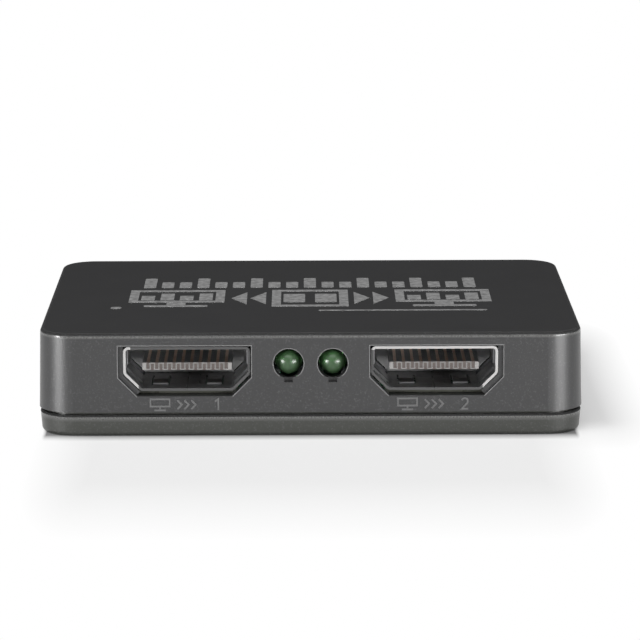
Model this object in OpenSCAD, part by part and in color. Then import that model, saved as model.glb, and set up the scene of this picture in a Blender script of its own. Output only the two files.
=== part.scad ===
// Video splitter: one input socket and two output sockets in a small moulded box.
// The upper and the lower housing close on a lapped seam and clamp the circuit board
// between their posts, with four screws driven from below. The outputs and their two
// lamps face the front (-Y), the input and the power socket face the rear (+Y).
// Millimetres, +Z up, origin at the middle of the base. Nothing on it moves.

/* [Housing] */
// Width across the side walls, at the seam
body_w = 63; // [61.5:0.5:75]
// Depth from the output side to the input side, at the seam
body_d = 46; // [45:0.5:60]
// Height from the base to the top
body_h = 12.1; // [11.9:0.1:15]
// Radius of the upright corners
corner_r = 4.2; // [3.4:0.1:5]
// Thickness of the side walls
wall = 1.5; // [1.3:0.1:1.7]
// Thickness of the top
top_wall = 1.4; // [1.1:0.1:1.6]
// Thickness of the floor
floor_wall = 1.3; // [1:0.1:1.5]
// Height of the lower housing's outside
lower_h = 2.5; // [2.2:0.1:2.8]
// Open line that shows between the two housings
shadow_gap = 0.35; // [0.2:0.05:0.5]
// How far each side of the upper housing draws in towards the top
side_draft = 0.2; // [0.05:0.05:0.4]
// Radius of the top edge
top_edge_r = 0.45; // [0.2:0.05:0.8]
// Radius of the bottom edge
base_edge_r = 0.5; // [0.2:0.05:0.8]

/* [Board] */
// Thickness of the board
board_t = 1.6; // [1:0.2:1.6]
// Share of the spare height that lies under the board, the rest over the sockets
under_share = 0.91; // [0.84:0.01:0.94]
// Distance from each screw's middle to the outside of the front or rear wall
screw_inset = 5; // [4.8:0.1:5.6]

/* [Video sockets] */
// Sideways place of the output sockets, as a share of the box's half width
output_place_share = 0.452; // [0.444:0.004:0.492]
// Sideways place of the input socket, as a share of the box's half width
input_place_share = 0.254; // [0.2:0.01:0.3]
// Width of the opening that the plug goes into
video_w = 14; // [13.9:0.05:14.2]
// Height of the opening that the plug goes into
video_h = 4.55; // [4.5:0.05:4.6]
// Length of the metal shell
video_len = 11.2; // [10.8:0.1:12]
// How far the sockets' mouths lie behind the outside of the wall
mouth_recess = 0.4; // [0.2:0.05:0.6]

/* [Power socket] */
// Sideways place of the power socket, as a share of the box's half width
power_place_share = -0.444; // [-0.5:0.01:-0.4]
// Width of the opening that the plug goes into
power_w = 6.9; // [6.8:0.05:7.1]
// Height of the opening that the plug goes into
power_h = 1.85; // [1.8:0.05:1.95]
// Length of the metal shell
power_len = 5; // [4.8:0.1:5.6]

/* [Lamps] */
// Distance between the middles of the two lamps
lamp_pitch = 5.08; // [4.9:0.02:5.3]
// Diameter of the lens
lens_d = 3; // [2.6:0.1:3.1]
// Height of the lamps' middle above the board
lamp_rise = 3.2; // [2.8:0.1:3.4]
// Diameter of the hole in the wall
lamp_hole_d = 3.45; // [3.2:0.05:3.8]

/* [Hidden] */
$fn = 64;
// Overrun of a cut past the face that it opens
over = 0.1;

// Housing: seam, bosses and ribs
lap_t = 0.65;
lap_h = 1.05;
lap_gap = 0.1;
lower_inset = 0.1;
lower_draft = 0.15;
seam_bevel = 0.18;
seam_z = lower_h + shadow_gap;
lap_z = seam_z + lap_h;
ceiling_z = body_h - top_wall;
inner_r = corner_r - wall;
rib_t = 0.9;
rib_h = 0.9;
rim_bevel = 0.12;

// Screws, with the posts and bosses that take them
screw_d = 2;
screw_reach = 3.2;
screw_tip = 0.8;
screw_clearance = 0.15;
thread_gap = 0.03;
head_d = 3.8;
head_h = 1.3;
head_recess = 0.35;
head_gap = 0.2;
drive_w = 0.6;
drive_len_share = 0.62;
drive_depth = 0.75;
post_wall = 0.8;
boss_d = 4.6;
boss_room = 0.6;
gusset_t = 0.8;
gusset_gap = 0.6;
head_seat_z = head_recess + head_h;
post_r = head_d / 2 + head_gap + post_wall;

// Board, set so that the sockets on it and the leads under it share the spare height
board_gap = 0.3;
slot_gap = 0.15;
stub_share = 0.33;
sheet = 0.3;
socket_h = video_h + 2 * sheet;
under_room = under_share * (ceiling_z - floor_wall - board_t - socket_h);
stub = stub_share * under_room;
board_lift = floor_wall + under_room;
board_z = board_lift + board_t;
board_w = body_w - 2 * (wall + board_gap);
board_d = body_d - 2 * (wall + board_gap);
board_corner_r = inner_r - board_gap;

// Video sockets: depths run inwards from the mouth, heights from the opening's middle
video_slant = 1.8;
slant_bend_r = 0.4;
square_bend_r = 0.3;
shell_seam = 0.06;
dovetail_ys = [3.2, 6.6];
dovetail_reach = 1.3;
dovetail_neck = 1.1;
dovetail_w = 1.7;
video_cut_gap = 0.33;
video_cut_drop = 0.22;
output_cut_shift = 0.25;
video_tail_room = 2.6;
video_flap_gap = 0.7;
video_leg_w = 1.2;
leg_relief = 0.2;
flap_relief = 0.15;
video_leg_ys = [2.4, 7.6];
video_block_y = 8.4;
video_tongue_y = 1;
tongue_w = 10.3;
tongue_t = 0.85;
tongue_rise = 0.1;
insulator_gap = 0.12;
insulator_foot_share = 0.78;
contact_w = 0.34;
contact_t = 0.15;
contact_pitch = 0.5;
contact_seat = 0.12;
contact_gap = 0.03;
contact_tip = 0.03;
contact_hook = 0.6;
contact_foot = 0.8;
contact_count = 19;
mouth_y = body_d / 2 - mouth_recess;
video_z = board_z + sheet + video_h / 2;
output_x = output_place_share * body_w / 2;
input_x = input_place_share * body_w / 2;
power_x = power_place_share * body_w / 2;
finger_w = 1.7;
finger_len = 4.6;
finger_root_y = 6.8;
finger_dip = 0.38;
finger_curl = 0.22;
finger_gap = 0.22;
finger_knee_share = 0.24;
finger_offset = 3.1;

// Power socket, measured the same way
power_sheet = 0.25;
power_slant = 0.7;
power_bend_r = 0.25;
power_cut_gap = 0.45;
power_tail_room = 1.2;
power_flap_gap = 0.5;
power_flare = 0.25;
power_top_flare_w = 4.6;
power_base_flare_w = 1.6;
power_base_flare_x = 1.2;
power_leg_w = 0.8;
power_leg_ys = [1.9, 3.9];
power_block_y = 3.5;
power_tongue_y = 0.7;
power_tongue_w = 3.7;
power_tongue_t = 0.6;
power_tongue_rise = 0.2;
power_contact_w = 0.3;
power_contact_t = 0.12;
power_contact_pitch = 0.65;
power_contact_count = 5;
power_contact_hook = 0.25;
power_z = board_z + power_sheet + power_h / 2;

// Lamps
lamp_len = 5.3;
lamp_recess = 0.3;
lamp_flange_d = 3.8;
lamp_flange_t = 1;
lead_t = 0.5;
lamp_lead_pitch = 2.54;
lead_run = 1.5;
frame_gap = 0.03;
frame_side = 1.15;
frame_bend_ys = [4, 4.5];
anvil_ys = [2.5, 3.4];
anvil_reach = 0.5;
lead_post_y = 2.3;
lead_post_w = 0.4;
cup_d = 1.1;
cup_len = 0.6;
cup_mouth_d = 0.85;
cup_floor_d = 0.4;
cup_depth = 0.35;
lamp_notch_w = 1;
lamp_notch_h = 0.45;
lamp_z = board_z + lamp_rise;

// Screws stand between the output sockets and the side walls
screw_x = (output_x + video_w / 2 + sheet + body_w / 2 - wall) / 2;
screw_y = body_d / 2 - screw_inset;

// Chips on the board. Their places are shares of the board's half width and of the half
// depth of its middle, which is what the rows of sockets leave free.
middle_d = mouth_y - video_len - contact_foot;
chip_w = 10;
chip_h = 1.4;
chip_lift = 0.1;
chip_corner = 0.6;
chip_leads = 16;
chip_lead_pitch = 0.5;
chip_lead_w = 0.22;
chip_lead_t = 0.15;
chip_lead_reach = 1;
chip_lead_foot = 0.5;
chip_mark_d = 1;
chip_mark_depth = 0.1;
chip_place_share = [0, 0];
memory_w = 3;
memory_d = 4.4;
memory_h = 1;
memory_leads = 4;
memory_lead_pitch = 0.65;
memory_lead_w = 0.24;
memory_lead_t = 0.13;
memory_place_share = [0.85, 0];
regulator_w = 6.5;
regulator_d = 3.5;
regulator_h = 1.6;
regulator_tab_w = 3;
regulator_lead_w = 0.7;
regulator_lead_pitch = 2.3;
regulator_lead_t = 0.25;
regulator_reach = 1.6;
regulator_foot = 0.9;
crystal_w = 11.3;
crystal_d = 4.7;
crystal_h = 3.6;
crystal_base_h = 0.6;
crystal_base_w = 12.3;
crystal_base_d = 5;
crystal_rim = 0.35;
crystal_place_share = [0.51, 0];
can_d = 5;
can_h_share = 0.945;
can_base_w = 5.3;
can_base_h = 1;
can_base_corner = 1.2;
can_groove_z = 1.9;
can_groove = 0.25;
can_place_shares = [[-0.81, 0.42], [-0.81, -0.42]];
can_h = can_h_share * (ceiling_z - board_z);
coil_w = 5;
coil_h = 2.8;
coil_flange_t = 0.6;
coil_core_d = 3.2;
coil_gap = 0.05;
coil_corner = 0.8;
coil_place_share = [-0.47, 0];
surge_w = 2.5;
surge_d = 1;
surge_h = 0.55;
surge_offset = 2.3;
surge_back = 1;

// Ceramic capacitors and resistors: their length, width and metal end
part_l = 1.6;
part_w = 0.8;
part_end = 0.3;
capacitor_h = 0.8;
resistor_h = 0.45;
capacitor_column_shares = [-0.637, -0.29];
capacitor_row_shares = [-0.6, -0.3, 0, 0.3, 0.6];
resistor_column_shares = [0.4, 0.5, 0.6];
resistor_row_shares = [-0.55, 0.55];
capacitor_place_shares = [for (x = capacitor_column_shares, y = capacitor_row_shares) [x, y]];
resistor_place_shares = [for (x = resistor_column_shares, y = resistor_row_shares) [x, y]];

// Colours
housing_colour = [0.23, 0.23, 0.24];
shell_colour = [0.72, 0.73, 0.75];
insulator_colour = [0.12, 0.12, 0.13];
contact_colour = [0.8, 0.66, 0.36];
tin_colour = [0.75, 0.76, 0.78];
chip_colour = [0.1, 0.1, 0.11];
board_colour = [0.07, 0.3, 0.16];
lens_colour = [0.2, 0.55, 0.25];
ceramic_colour = [0.68, 0.58, 0.44];

// Prism along Y from y0 to y1 of an outline drawn in X and Z
module along_y(y0, y1) {
    translate([0, y1, 0]) rotate([90, 0, 0]) linear_extrude(y1 - y0) children();
}

// Strip of thickness w across X, centred, of a side view drawn in Y and Z
module across_x(w) {
    translate([-w / 2, 0, 0]) rotate([90, 0, 90]) linear_extrude(w) children();
}

// Box centred in X and Y that stands on z0
module standing_box(size, z0) {
    translate([-size.x / 2, -size.y / 2, z0]) cube(size);
}

// Mirrored copies into the four quarters of the plan
module four_ways() {
    for (sx = [0, 1], sy = [0, 1])
        mirror([sx, 0, 0]) mirror([0, sy, 0]) children();
}

// Solid with rounded upright corners, whose side follows a profile drawn from the
// middle of the corner's arc outwards: revolved corners, extruded sides, plain middle
module swept_box(z0, z1) {
    half_w = body_w / 2 - corner_r;
    half_d = body_d / 2 - corner_r;
    four_ways() translate([half_w, half_d, 0]) rotate_extrude(angle = 90) children();
    for (side = [0, 1]) {
        mirror([side, 0, 0]) translate([half_w, half_d, 0])
            rotate([90, 0, 0]) linear_extrude(2 * half_d) children();
        mirror([0, side, 0]) translate([-half_w, half_d, 0])
            rotate([90, 0, 90]) linear_extrude(2 * half_w) children();
    }
    translate([-half_w, -half_d, z0]) cube([2 * half_w, 2 * half_d, z1 - z0]);
}

// The same with upright sides, reach mm out from the middle of the corner's arc
module straight_box(reach, z0, z1) {
    swept_box(z0, z1) translate([0, z0]) square([reach, z1 - z0]);
}

// Strip of sheet that runs along +X with its inner face up, and turns up at each bend.
// Each step is a run, the angle of the bend after it and the bend's inner radius.
module bent_strip(steps, t, depth, step = 0) {
    if (step < len(steps)) {
        run = steps[step][0];
        turn = steps[step][1];
        r = steps[step][2];
        translate([0, 0, -t]) cube([run, depth, t]);
        translate([run, 0, r]) {
            if (turn > 0)
                translate([0, depth, 0]) rotate([90, 0, 0]) rotate([0, 0, -90])
                    rotate_extrude(angle = turn) translate([r, 0]) square([t, depth]);
            rotate([0, -turn, 0]) translate([0, 0, -r]) bent_strip(steps, t, depth, step + 1);
        }
    }
}

// Outline of a socket: a rectangle with its two lower corners slanted at 45 degrees
module socket_outline(w, h, slant, grow = 0) {
    half_w = w / 2 + grow;
    half_h = h / 2 + grow;
    cut = slant + grow * (2 - sqrt(2));
    polygon([
        [-half_w, half_h], [half_w, half_h], [half_w, cut - half_h],
        [half_w - cut, -half_h], [cut - half_w, -half_h], [-half_w, cut - half_h],
    ]);
}

// Opening through a wall round a socket, with a bevelled rim on the outside. It runs
// inwards from the socket's mouth, which lies mouth_recess behind the wall's outside.
module socket_cut(w, h, slant, gap) {
    along_y(-mouth_recess - over, wall + over) socket_outline(w, h, slant, gap);
    bevel_scale = [1 + 2 * rim_bevel / (w + 2 * gap), 1 + 2 * rim_bevel / (h + 2 * gap)];
    translate([0, rim_bevel - mouth_recess, 0]) rotate([90, 0, 0])
        linear_extrude(rim_bevel + side_draft, scale = bevel_scale, slices = 1, segments = 6)
            socket_outline(w, h, slant, gap);
}

// Metal tube of a socket, folded from one strip that meets under its middle
module folded_tube(w, h, slant, t, depth, r_slant, r_square) {
    trim = r_slant * tan(22.5);
    half_base = w / 2 - slant - trim - shell_seam / 2;
    diagonal = slant * sqrt(2) - 2 * trim;
    side = h - slant - trim - r_square;
    translate([shell_seam / 2, 0, -h / 2])
        bent_strip([
            [half_base, 45, r_slant], [diagonal, 45, r_slant], [side, 90, r_square],
            [w - 2 * r_square, 90, r_square],
            [side, 45, r_slant], [diagonal, 45, r_slant], [half_base, 0, 0],
        ], t, depth);
}

// Shell of a socket: the folded tube, cut away under its tail, closed by a flap at the
// back, with legs punched out of its slants that go down through the board
module socket_shell(w, h, slant, t, depth, r_slant, r_square, tail_room, flap_gap, leg_w, leg_ys) {
    leg_top = slant - h / 2 + r_slant * tan(22.5);
    leg_low = -h / 2 - t - board_t - stub;
    difference() {
        folded_tube(w, h, slant, t, depth, r_slant, r_square);
        translate([-w / 2 - t - over, depth - tail_room, -h / 2 - t - over])
            cube([w + 2 * (t + over), tail_room + over, leg_top + h / 2 + t + over]);
        for (side = [0, 1], y = leg_ys)
            mirror([side, 0, 0]) translate([w / 2 - slant, y - leg_w / 2 - leg_relief, leg_low])
                cube([slant + t + over, leg_w + 2 * leg_relief, leg_top - leg_low]);
    }
    flap_w = w - 2 * (r_square + flap_relief);
    translate([-flap_w / 2, depth - t, flap_gap - h / 2]) cube([flap_w, t, h + t / 2 - flap_gap]);
    for (side = [0, 1], y = leg_ys)
        mirror([side, 0, 0]) translate([w / 2, y - leg_w / 2, leg_low])
            cube([t, leg_w, leg_top - leg_low + over]);
}

// Slots in the board for a shell's legs
module leg_slots(w, t, leg_w, leg_ys) {
    for (side = [0, 1], y = leg_ys)
        mirror([side, 0, 0]) translate([w / 2 - slot_gap, y - leg_w / 2 - slot_gap, 0])
            cube([t + 2 * slot_gap, leg_w + 2 * slot_gap, board_t + 2 * over]);
}

// Side view of a contact: along the tongue from y0, down behind the block at y1, and
// out along the board to y2. Its lower face on the tongue is at z0, its foot at z1, and
// its tip hooks over the tongue's front edge, down from an upper contact, up from a lower.
module contact_view(y0, y1, y2, z0, z1, t, hook, upper) {
    tip = upper
        ? [[y0, z0 + t], [y0, z0 - hook], [y0 + t, z0 - hook], [y0 + t, z0]]
        : [[y0 + t, z0 + t], [y0 + t, z0 + t + hook], [y0, z0 + t + hook], [y0, z0]];
    polygon(concat(tip, [
        [y1, z0], [y1, z1], [y2, z1], [y2, z1 + t], [y1 + t, z1 + t], [y1 + t, z0 + t],
    ]));
}

// Channel in a tongue for such a contact, open at the tongue's front and outer face
module contact_channel(y0, y1, z0, w, t, hook, upper) {
    low = z0 - contact_gap - (upper ? hook : 0);
    translate([-w / 2 - contact_gap, y0, z0 - contact_gap])
        cube([w + 2 * contact_gap, y1 - y0, t + 2 * contact_gap]);
    translate([-w / 2 - contact_gap, y0 - contact_tip - over, low])
        cube([w + 2 * contact_gap, contact_tip + over + t + contact_gap, t + hook + 2 * contact_gap]);
}

// Video socket parts
video_block_end = video_len - sheet - contact_t - insulator_gap - contact_gap;
video_foot_z = -video_h / 2 - sheet;
upper_contact_z = tongue_rise + tongue_t / 2 - contact_seat;
lower_contact_z = tongue_rise - tongue_t / 2 + contact_seat - contact_t;

// Window cut round a spring finger, in a wall whose inner face is the plane z = 0
module finger_window(w) {
    translate([-w / 2 - finger_gap, finger_root_y - finger_len - finger_gap, -over])
        cube([w + 2 * finger_gap, finger_len + finger_gap, sheet + 2 * over]);
}

// Spring finger that dips into the opening and curls back at its tip
module finger(w) {
    knee_y = finger_root_y - finger_len * (1 - finger_knee_share);
    tip_y = finger_root_y - finger_len;
    across_x(w) polygon([
        [finger_root_y, sheet], [knee_y, sheet - finger_dip],
        [tip_y, sheet - finger_dip + finger_curl], [tip_y, finger_curl - finger_dip],
        [knee_y, -finger_dip], [finger_root_y, 0],
    ]);
}

// Places of the six fingers: two above, two below and one on each side
module finger_places() {
    for (side = [-1, 1]) {
        translate([side * finger_offset, 0, video_h / 2]) children();
        translate([side * finger_offset, 0, -video_h / 2]) rotate([0, 180, 0]) children();
        translate([side * video_w / 2, 0, video_slant / 2]) rotate([0, side * 90, 0]) children();
    }
}

// Dovetails that lock the shell's seam: each grows from one side of it into the other,
// and the hole that takes it is larger by the gap
module dovetails(gap, root) {
    for (y = dovetail_ys)
        translate([0, y]) polygon([
            [-root - shell_seam / 2, -dovetail_neck / 2 - gap], [dovetail_reach + gap, -dovetail_w / 2 - gap],
            [dovetail_reach + gap, dovetail_w / 2 + gap], [-root - shell_seam / 2, dovetail_neck / 2 + gap],
        ]);
}

module video_shell() {
    color(shell_colour) {
        difference() {
            socket_shell(video_w, video_h, video_slant, sheet, video_len, slant_bend_r, square_bend_r,
                video_tail_room, video_flap_gap, video_leg_w, video_leg_ys);
            finger_places() finger_window(finger_w);
            translate([0, 0, -video_h / 2 - sheet - over])
                linear_extrude(sheet + 2 * over) dovetails(shell_seam, 0);
        }
        finger_places() finger(finger_w);
        translate([0, 0, -video_h / 2 - sheet]) linear_extrude(sheet) dovetails(0, over);
    }
}

// Places of the upper and the lower row of contacts, which share one step
module contact_places(upper) {
    for (i = [0 : contact_count - 1])
        if ((i % 2 == 0) == upper)
            translate([(i - (contact_count - 1) / 2) * contact_pitch, 0, 0]) children();
}

module video_channel(upper) {
    contact_channel(video_tongue_y + contact_tip, video_len, upper ? upper_contact_z : lower_contact_z,
        contact_w, contact_t, contact_hook, upper);
}

module video_insulator() {
    foot_w = video_w * insulator_foot_share;
    foot_y = video_len - video_tail_room + insulator_gap;
    color(insulator_colour) difference() {
        union() {
            along_y(video_block_y, video_block_end)
                socket_outline(video_w, video_h, video_slant, -insulator_gap);
            translate([-foot_w / 2, foot_y, video_foot_z])
                cube([foot_w, video_block_end - foot_y, sheet + insulator_gap + over]);
            translate([-tongue_w / 2, video_tongue_y, tongue_rise - tongue_t / 2])
                cube([tongue_w, video_block_y - video_tongue_y + over, tongue_t]);
        }
        for (upper = [true, false]) contact_places(upper) video_channel(upper);
    }
}

module video_contacts() {
    y0 = video_tongue_y + contact_tip;
    y1 = video_block_end + contact_gap;
    y2 = video_len + contact_foot;
    color(contact_colour) {
        contact_places(true) across_x(contact_w) contact_view(y0, y1, y2, upper_contact_z,
            video_foot_z, contact_t, contact_hook, true);
        contact_places(false) across_x(contact_w) contact_view(y0, y1, y2, lower_contact_z,
            video_foot_z, contact_t, contact_hook, false);
    }
}

// Power socket parts
power_block_end = power_len - power_sheet - power_contact_t - insulator_gap - contact_gap;
power_foot_z = -power_h / 2 - power_sheet;
power_contact_z = power_tongue_rise - power_tongue_t / 2 - contact_gap;

module power_contact_places() {
    for (i = [0 : power_contact_count - 1])
        translate([(i - (power_contact_count - 1) / 2) * power_contact_pitch, 0, 0]) children();
}

// Places of the parts on the walls and on the board
module at_output(side) {
    translate([side * output_x, -mouth_y, video_z]) children();
}

module at_input() {
    translate([input_x, mouth_y, video_z]) rotate([0, 0, 180]) children();
}

module at_power() {
    translate([power_x, mouth_y, power_z]) rotate([0, 0, 180]) children();
}

module at_lamp(side) {
    translate([side * lamp_pitch / 2, lamp_recess - body_d / 2, lamp_z]) children();
}

module at_share(place) {
    translate([place.x * board_w / 2, place.y * middle_d, board_z]) children();
}

module at_screws() {
    four_ways() translate([screw_x, screw_y, 0]) children();
}

// Side profiles of the two housings, drawn outwards from the middle of a corner's arc
module upper_profile() {
    edge = corner_r - side_draft;
    polygon([
        [0, seam_z], [corner_r, seam_z], [edge, body_h - top_edge_r],
        [edge - top_edge_r, body_h], [0, body_h],
    ]);
    translate([edge - top_edge_r, body_h - top_edge_r]) circle(top_edge_r);
}

module lower_profile() {
    top = corner_r - lower_inset;
    base = top - lower_draft;
    polygon([
        [0, 0], [base - base_edge_r, 0], [base, base_edge_r], [top, lower_h - seam_bevel],
        [top - seam_bevel, lower_h], [0, lower_h],
    ]);
    translate([base - base_edge_r, base_edge_r]) circle(base_edge_r);
}

// Hole for a lamp through the front wall, with a bevelled rim and a notch under it
module lamp_cut() {
    r = lamp_hole_d / 2;
    y0 = -lamp_recess;
    along_y(y0 - over, wall + over) circle(r);
    translate([0, y0, 0]) rotate([-90, 0, 0])
        cylinder(h = rim_bevel, r1 = r + rim_bevel, r2 = r);
    translate([-lamp_notch_w / 2, y0 - over, -r - lamp_notch_h])
        cube([lamp_notch_w, wall / 2 + over, r + lamp_notch_h]);
}

// Openings for the four sockets through the housing's walls
module socket_cuts() {
    for (side = [-1, 1]) translate([side * output_cut_shift, 0, 0]) at_output(side) video_cut();
    at_input() video_cut();
    at_power() socket_cut(power_w, power_h, power_slant, power_cut_gap + power_sheet);
}

module video_cut() {
    translate([0, 0, -video_cut_drop]) socket_cut(video_w, video_h, video_slant, video_cut_gap + sheet);
}

module upper_housing() {
    boss_base = board_z;
    gusset_h = ceiling_z - boss_base - gusset_gap + over;
    leg_y = body_d / 2 - mouth_recess - (video_leg_ys[0] + video_leg_ys[1]) / 2;
    holder_z = video_z + video_h / 2 + sheet + lap_gap;
    rib_reach = middle_d - rib_t;
    color(housing_colour) difference() {
        union() {
            difference() {
                swept_box(seam_z, body_h) upper_profile();
                straight_box(inner_r, seam_z - over, ceiling_z);
                straight_box(inner_r + lap_t + lap_gap, seam_z - over, lap_z);
            }
            // Screw bosses, each tied to the two walls beside it
            at_screws() {
                translate([0, 0, boss_base]) cylinder(h = ceiling_z - boss_base + over, d = boss_d);
                translate([0, -gusset_t / 2, boss_base + gusset_gap])
                    cube([body_w / 2 - wall - screw_x + over, gusset_t, gusset_h]);
                translate([-gusset_t / 2, 0, boss_base + gusset_gap])
                    cube([gusset_t, screw_inset - wall + over, gusset_h]);
            }
            // Ribs under the top, and the short ones that hold the sockets down
            for (side = [-1, 1]) {
                translate([side * rib_reach - rib_t / 2, -rib_reach, ceiling_z - rib_h])
                    cube([rib_t, 2 * rib_reach, rib_h + over]);
                translate([-rib_reach, side * rib_reach - rib_t / 2, ceiling_z - rib_h])
                    cube([2 * rib_reach, rib_t, rib_h + over]);
                translate([side * output_x - video_w / 4, -leg_y - rib_t / 2, holder_z])
                    cube([video_w / 2, rib_t, ceiling_z - holder_z + over]);
            }
            translate([input_x - video_w / 4, leg_y - rib_t / 2, holder_z])
                cube([video_w / 2, rib_t, ceiling_z - holder_z + over]);
        }
        socket_cuts();
        for (side = [-1, 1]) at_lamp(side) lamp_cut();
        at_screws() translate([0, 0, boss_base - over])
            cylinder(h = screw_reach + boss_room + over, d = screw_d + 2 * thread_gap);
    }
}

module lower_housing() {
    leg_y = body_d / 2 - mouth_recess - (video_leg_ys[0] + video_leg_ys[1]) / 2;
    rib_low = floor_wall - over;
    color(housing_colour) difference() {
        union() {
            difference() {
                union() {
                    swept_box(0, lower_h) lower_profile();
                    straight_box(inner_r + lap_t, lower_h - over, lap_z);
                }
                straight_box(inner_r, floor_wall, lap_z + over);
            }
            at_screws() cylinder(h = board_lift, r = post_r);
            // Ribs that carry the board under the sockets
            for (side = [-1, 1]) {
                translate([-output_x - video_w / 2, side * leg_y - rib_t / 2, rib_low])
                    cube([2 * output_x + video_w, rib_t, board_lift - rib_low]);
                translate([side * output_x - rib_t / 2, -leg_y, rib_low])
                    cube([rib_t, 2 * leg_y, board_lift - rib_low]);
            }
        }
        at_screws() {
            translate([0, 0, -over]) cylinder(h = head_seat_z + over, d = head_d + 2 * head_gap);
            cylinder(h = board_lift + over, d = screw_d + 2 * screw_clearance);
        }
        socket_cuts();
    }
}

// Pan-head screw with a cross recess, standing on its head
module housing_screw() {
    shank = board_z + screw_reach - head_seat_z;
    difference() {
        union() {
            translate([0, 0, head_recess]) cylinder(h = head_h, d = head_d);
            translate([0, 0, head_seat_z]) cylinder(h = shank - screw_tip, d = screw_d);
            translate([0, 0, head_seat_z + shank - screw_tip])
                cylinder(h = screw_tip, d1 = screw_d, d2 = screw_d / 2);
        }
        for (angle = [0, 90]) rotate([0, 0, angle])
            standing_box([head_d * drive_len_share, drive_w, drive_depth + over], head_recess - over);
    }
}

module housing_screws() {
    color(tin_colour) at_screws() housing_screw();
}

module circuit_board() {
    half_w = board_w / 2 - board_corner_r;
    half_d = board_d / 2 - board_corner_r;
    lead_y = lamp_len + lead_run - lead_t / 2;
    color(board_colour) difference() {
        union() {
            four_ways() translate([half_w, half_d, board_lift])
                rotate_extrude(angle = 90) square([board_corner_r, board_t]);
            standing_box([2 * half_w, board_d, board_t], board_lift);
            standing_box([board_w, 2 * half_d, board_t], board_lift);
        }
        at_screws() translate([0, 0, board_lift - over])
            cylinder(h = board_t + 2 * over, d = screw_d + 2 * screw_clearance);
        for (side = [-1, 1]) {
            at_output(side) translate([0, 0, board_lift - over - video_z])
                leg_slots(video_w, sheet, video_leg_w, video_leg_ys);
            at_lamp(side) for (lead = [-1, 1])
                translate([lead * lamp_lead_pitch / 2, lead_y, board_lift - over - lamp_z])
                    cylinder(h = board_t + 2 * over, d = lead_t * sqrt(2) + 2 * slot_gap);
        }
        at_input() translate([0, 0, board_lift - over - video_z])
            leg_slots(video_w, sheet, video_leg_w, video_leg_ys);
        at_power() translate([0, 0, board_lift - over - power_z])
            leg_slots(power_w, power_sheet, power_leg_w, power_leg_ys);
    }
}

// Lip at the mouth that flares outwards at 45 degrees, from a wall whose inner face is at z = 0
module power_flare(w) {
    step = power_sheet / sqrt(2);
    across_x(w) polygon([
        [power_sheet, 0], [0, 0], [-power_flare, power_flare], [step - power_flare, power_flare + step],
        [power_sheet * tan(22.5), power_sheet], [power_sheet, power_sheet],
    ]);
}

module power_shell() {
    color(shell_colour) at_power() {
        socket_shell(power_w, power_h, power_slant, power_sheet, power_len, power_bend_r, power_bend_r,
            power_tail_room, power_flap_gap, power_leg_w, power_leg_ys);
        translate([0, 0, power_h / 2]) power_flare(power_top_flare_w);
        for (side = [-1, 1])
            translate([side * power_base_flare_x, 0, -power_h / 2])
                mirror([0, 0, 1]) power_flare(power_base_flare_w);
    }
}

module power_insulator() {
    foot_w = power_w - 2 * power_slant;
    foot_y = power_len - power_tail_room + insulator_gap;
    color(insulator_colour) at_power() difference() {
        union() {
            along_y(power_block_y, power_block_end)
                socket_outline(power_w, power_h, power_slant, -insulator_gap);
            translate([-foot_w / 2, foot_y, power_foot_z])
                cube([foot_w, power_block_end - foot_y, power_sheet + insulator_gap + over]);
            translate([-power_tongue_w / 2, power_tongue_y, power_tongue_rise - power_tongue_t / 2])
                cube([power_tongue_w, power_block_y - power_tongue_y + over, power_tongue_t]);
        }
        power_contact_places() contact_channel(power_tongue_y + contact_tip, power_len,
            power_contact_z, power_contact_w, power_contact_t, power_contact_hook, false);
    }
}

module power_contacts() {
    color(contact_colour) at_power() power_contact_places() across_x(power_contact_w)
        contact_view(power_tongue_y + contact_tip, power_block_end + contact_gap,
            power_len + contact_foot, power_contact_z, power_foot_z, power_contact_t,
            power_contact_hook, false);
}

// Lead frame inside a lamp: the anvil, whose cup holds the light's crystal, and the post.
// A gap makes it the hole in the lens that takes it.
module lead_frame(gap) {
    inner = lamp_lead_pitch / 2 - lead_t / 2 - gap;
    outer = lamp_lead_pitch / 2 + lead_t / 2 + gap;
    side = frame_side + gap;
    bend = frame_bend_ys;
    translate([0, 0, -lead_t / 2 - gap]) linear_extrude(lead_t + 2 * gap) {
        polygon([
            [-outer, lamp_len + over], [-outer, bend[1] - gap], [-side, bend[0] - gap],
            [-side, anvil_ys[0] - gap], [anvil_reach + gap, anvil_ys[0] - gap],
            [anvil_reach + gap, anvil_ys[1] + gap], [-inner, bend[1] + gap], [-inner, lamp_len + over],
        ]);
        polygon([
            [outer, lamp_len + over], [outer, bend[1] - gap], [side, bend[0] - gap],
            [side, lead_post_y - gap], [frame_side - lead_post_w - gap, lead_post_y - gap],
            [frame_side - lead_post_w - gap, bend[0] + gap], [inner, bend[1] + gap],
            [inner, lamp_len + over],
        ]);
    }
    along_y(anvil_ys[0] - cup_len - gap, anvil_ys[0] + over) circle(d = cup_d + 2 * gap);
}

// Lens of a lamp: a flange, a barrel and a dome, with its tip at the front
module lamp_lens() {
    r = lens_d / 2;
    color(lens_colour) difference() {
        translate([0, lamp_len, 0]) rotate([90, 0, 0]) rotate_extrude() {
            square([lamp_flange_d / 2, lamp_flange_t]);
            square([r, lamp_len - r]);
            translate([0, lamp_len - r]) intersection() {
                circle(r);
                square(r);
            }
        }
        lead_frame(frame_gap);
    }
}

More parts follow.
